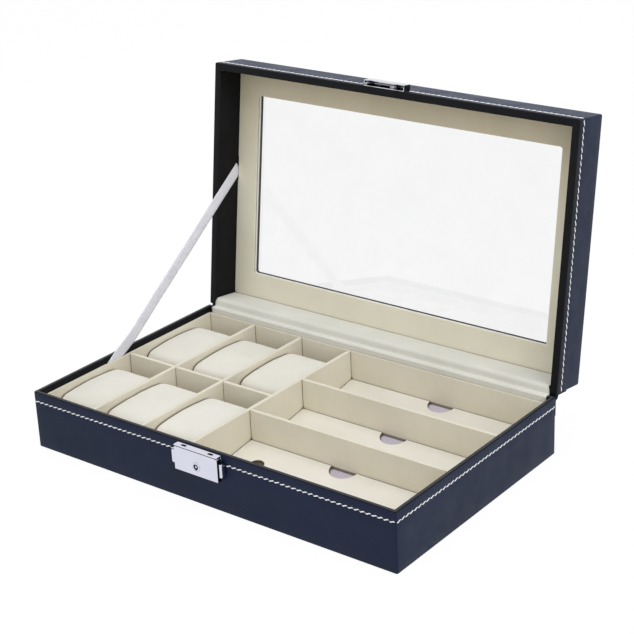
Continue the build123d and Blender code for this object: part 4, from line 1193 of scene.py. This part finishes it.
# Painted light: a paler copy of the frame cloth for the packing frame, which lies in the frame's shade.
lit_packing_cloth = suede_material("lit_packing_cloth", (0.84, 0.86, 0.80), (0.90, 0.92, 0.86))
# Painted shade: the cut edges of the notch and the finger hole in the glasses floors are dark brown, for
# the shade in them.
cut_edge_shade = suede_material("cut_edge_shade", (0.10, 0.08, 0.06), (0.16, 0.13, 0.10))
satin = satin_material()
thread = thread_material()
chrome = chrome_material("chrome", (0.695, 0.70, 0.80), 0.08, 0.13)
# Painted shade: the keeper's chrome is darkened over a longer reach, for the shade inside the keeper.
keeper_chrome = chrome_material("keeper_chrome", (0.62, 0.62, 0.69), 0.08, 0.13,
                                crevice=(0.006, 0.62, 0.97))
# Painted shade: a much darker copy of the chrome for the hooks inside the keeper.
shaded_hook_chrome = chrome_material("shaded_hook_chrome", (0.24, 0.24, 0.27), 0.1, 0.16,
                              crevice=(0.004, 0.4, 0.9))
# Painted shade: a near-black copy of the chrome for the outer end faces of the keeper and the lock cover.
end_shade_chrome = chrome_material("painted_end_shade", (0.035, 0.036, 0.042), 0.2, 0.3)
steel = chrome_material("spring_steel", (0.5, 0.5, 0.52), 0.25, 0.4, True)
glass = glass_material()
card = card_material()
board = board_material()
felt = felt_material()

dress("base_felt", felt)
dress("base_bottom_board", board)
for shell in ("base", "lid"):
    for side in ("front", "back", "left", "right"):
        dress(f"{shell}_{side}_board", board)
dress("lid_top_board", frame_cloth)
LINERS = ("liner_front", "liner_back", "liner_left", "liner_right")
DIVIDERS = ("main_divider", "row_divider", "column_divider_1", "column_divider_2",
            "glasses_divider_front", "glasses_divider_rear")
for parts, edge in ((LINERS, 0.5), (DIVIDERS, 0.7)):
    for part in parts:
        dress(part, lining, edge)
        dress_faces(part, shaded_top_lining, level_top)
dress("floor_lining", floor_cloth)
dress("inner_frame", frame_cloth, 0.35)
dress("packing_frame", lit_packing_cloth, 0.2)
for name in ("front", "middle", "rear"):
    dress("glasses_riser_" + name, card, 0.3)
    dress("glasses_floor_" + name, floor_cloth, 0.3)
    dress_faces("glasses_floor_" + name, cut_edge_shade, cut_edge)
dress("glass_pane", glass)
for part in ("lock_housing", "lock_cover", "lock_rivets", "key_plug", "latch_slider"):
    dress(part, chrome, 0.15, 2)
dress("keeper_shell", keeper_chrome, 0.15, 2)
for part in ("keeper_hooks", "keeper_rivets"):
    dress(part, shaded_hook_chrome, 0.15, 2)
dress("latch_spring", steel)
# Painted shade on the end faces, for the dark gaps beside them.
dress_faces("keeper_shell", end_shade_chrome, outer_end(18.4))
dress_faces("lock_cover", end_shade_chrome, outer_end(19.9))

base_leather_piece(leather, black_leather, rim_highlight_leather)
lid_leather_piece(leather, black_leather, shaded_leather)
stitching(thread)
hinge_cloth_piece(hinge_cloth_look)
hinge_leather_piece(leather)
ribbon_piece(satin)
seed = PILLOW_FIRST_SEED
for row, y in PILLOW_ROWS:
    for column in range(3):
        x = PILLOW_FIRST_X + PILLOW_SPACING * column
        pillow_piece(f"{row}_{column + 1}", x, y, pillow_cloth, seed)
        seed += 1
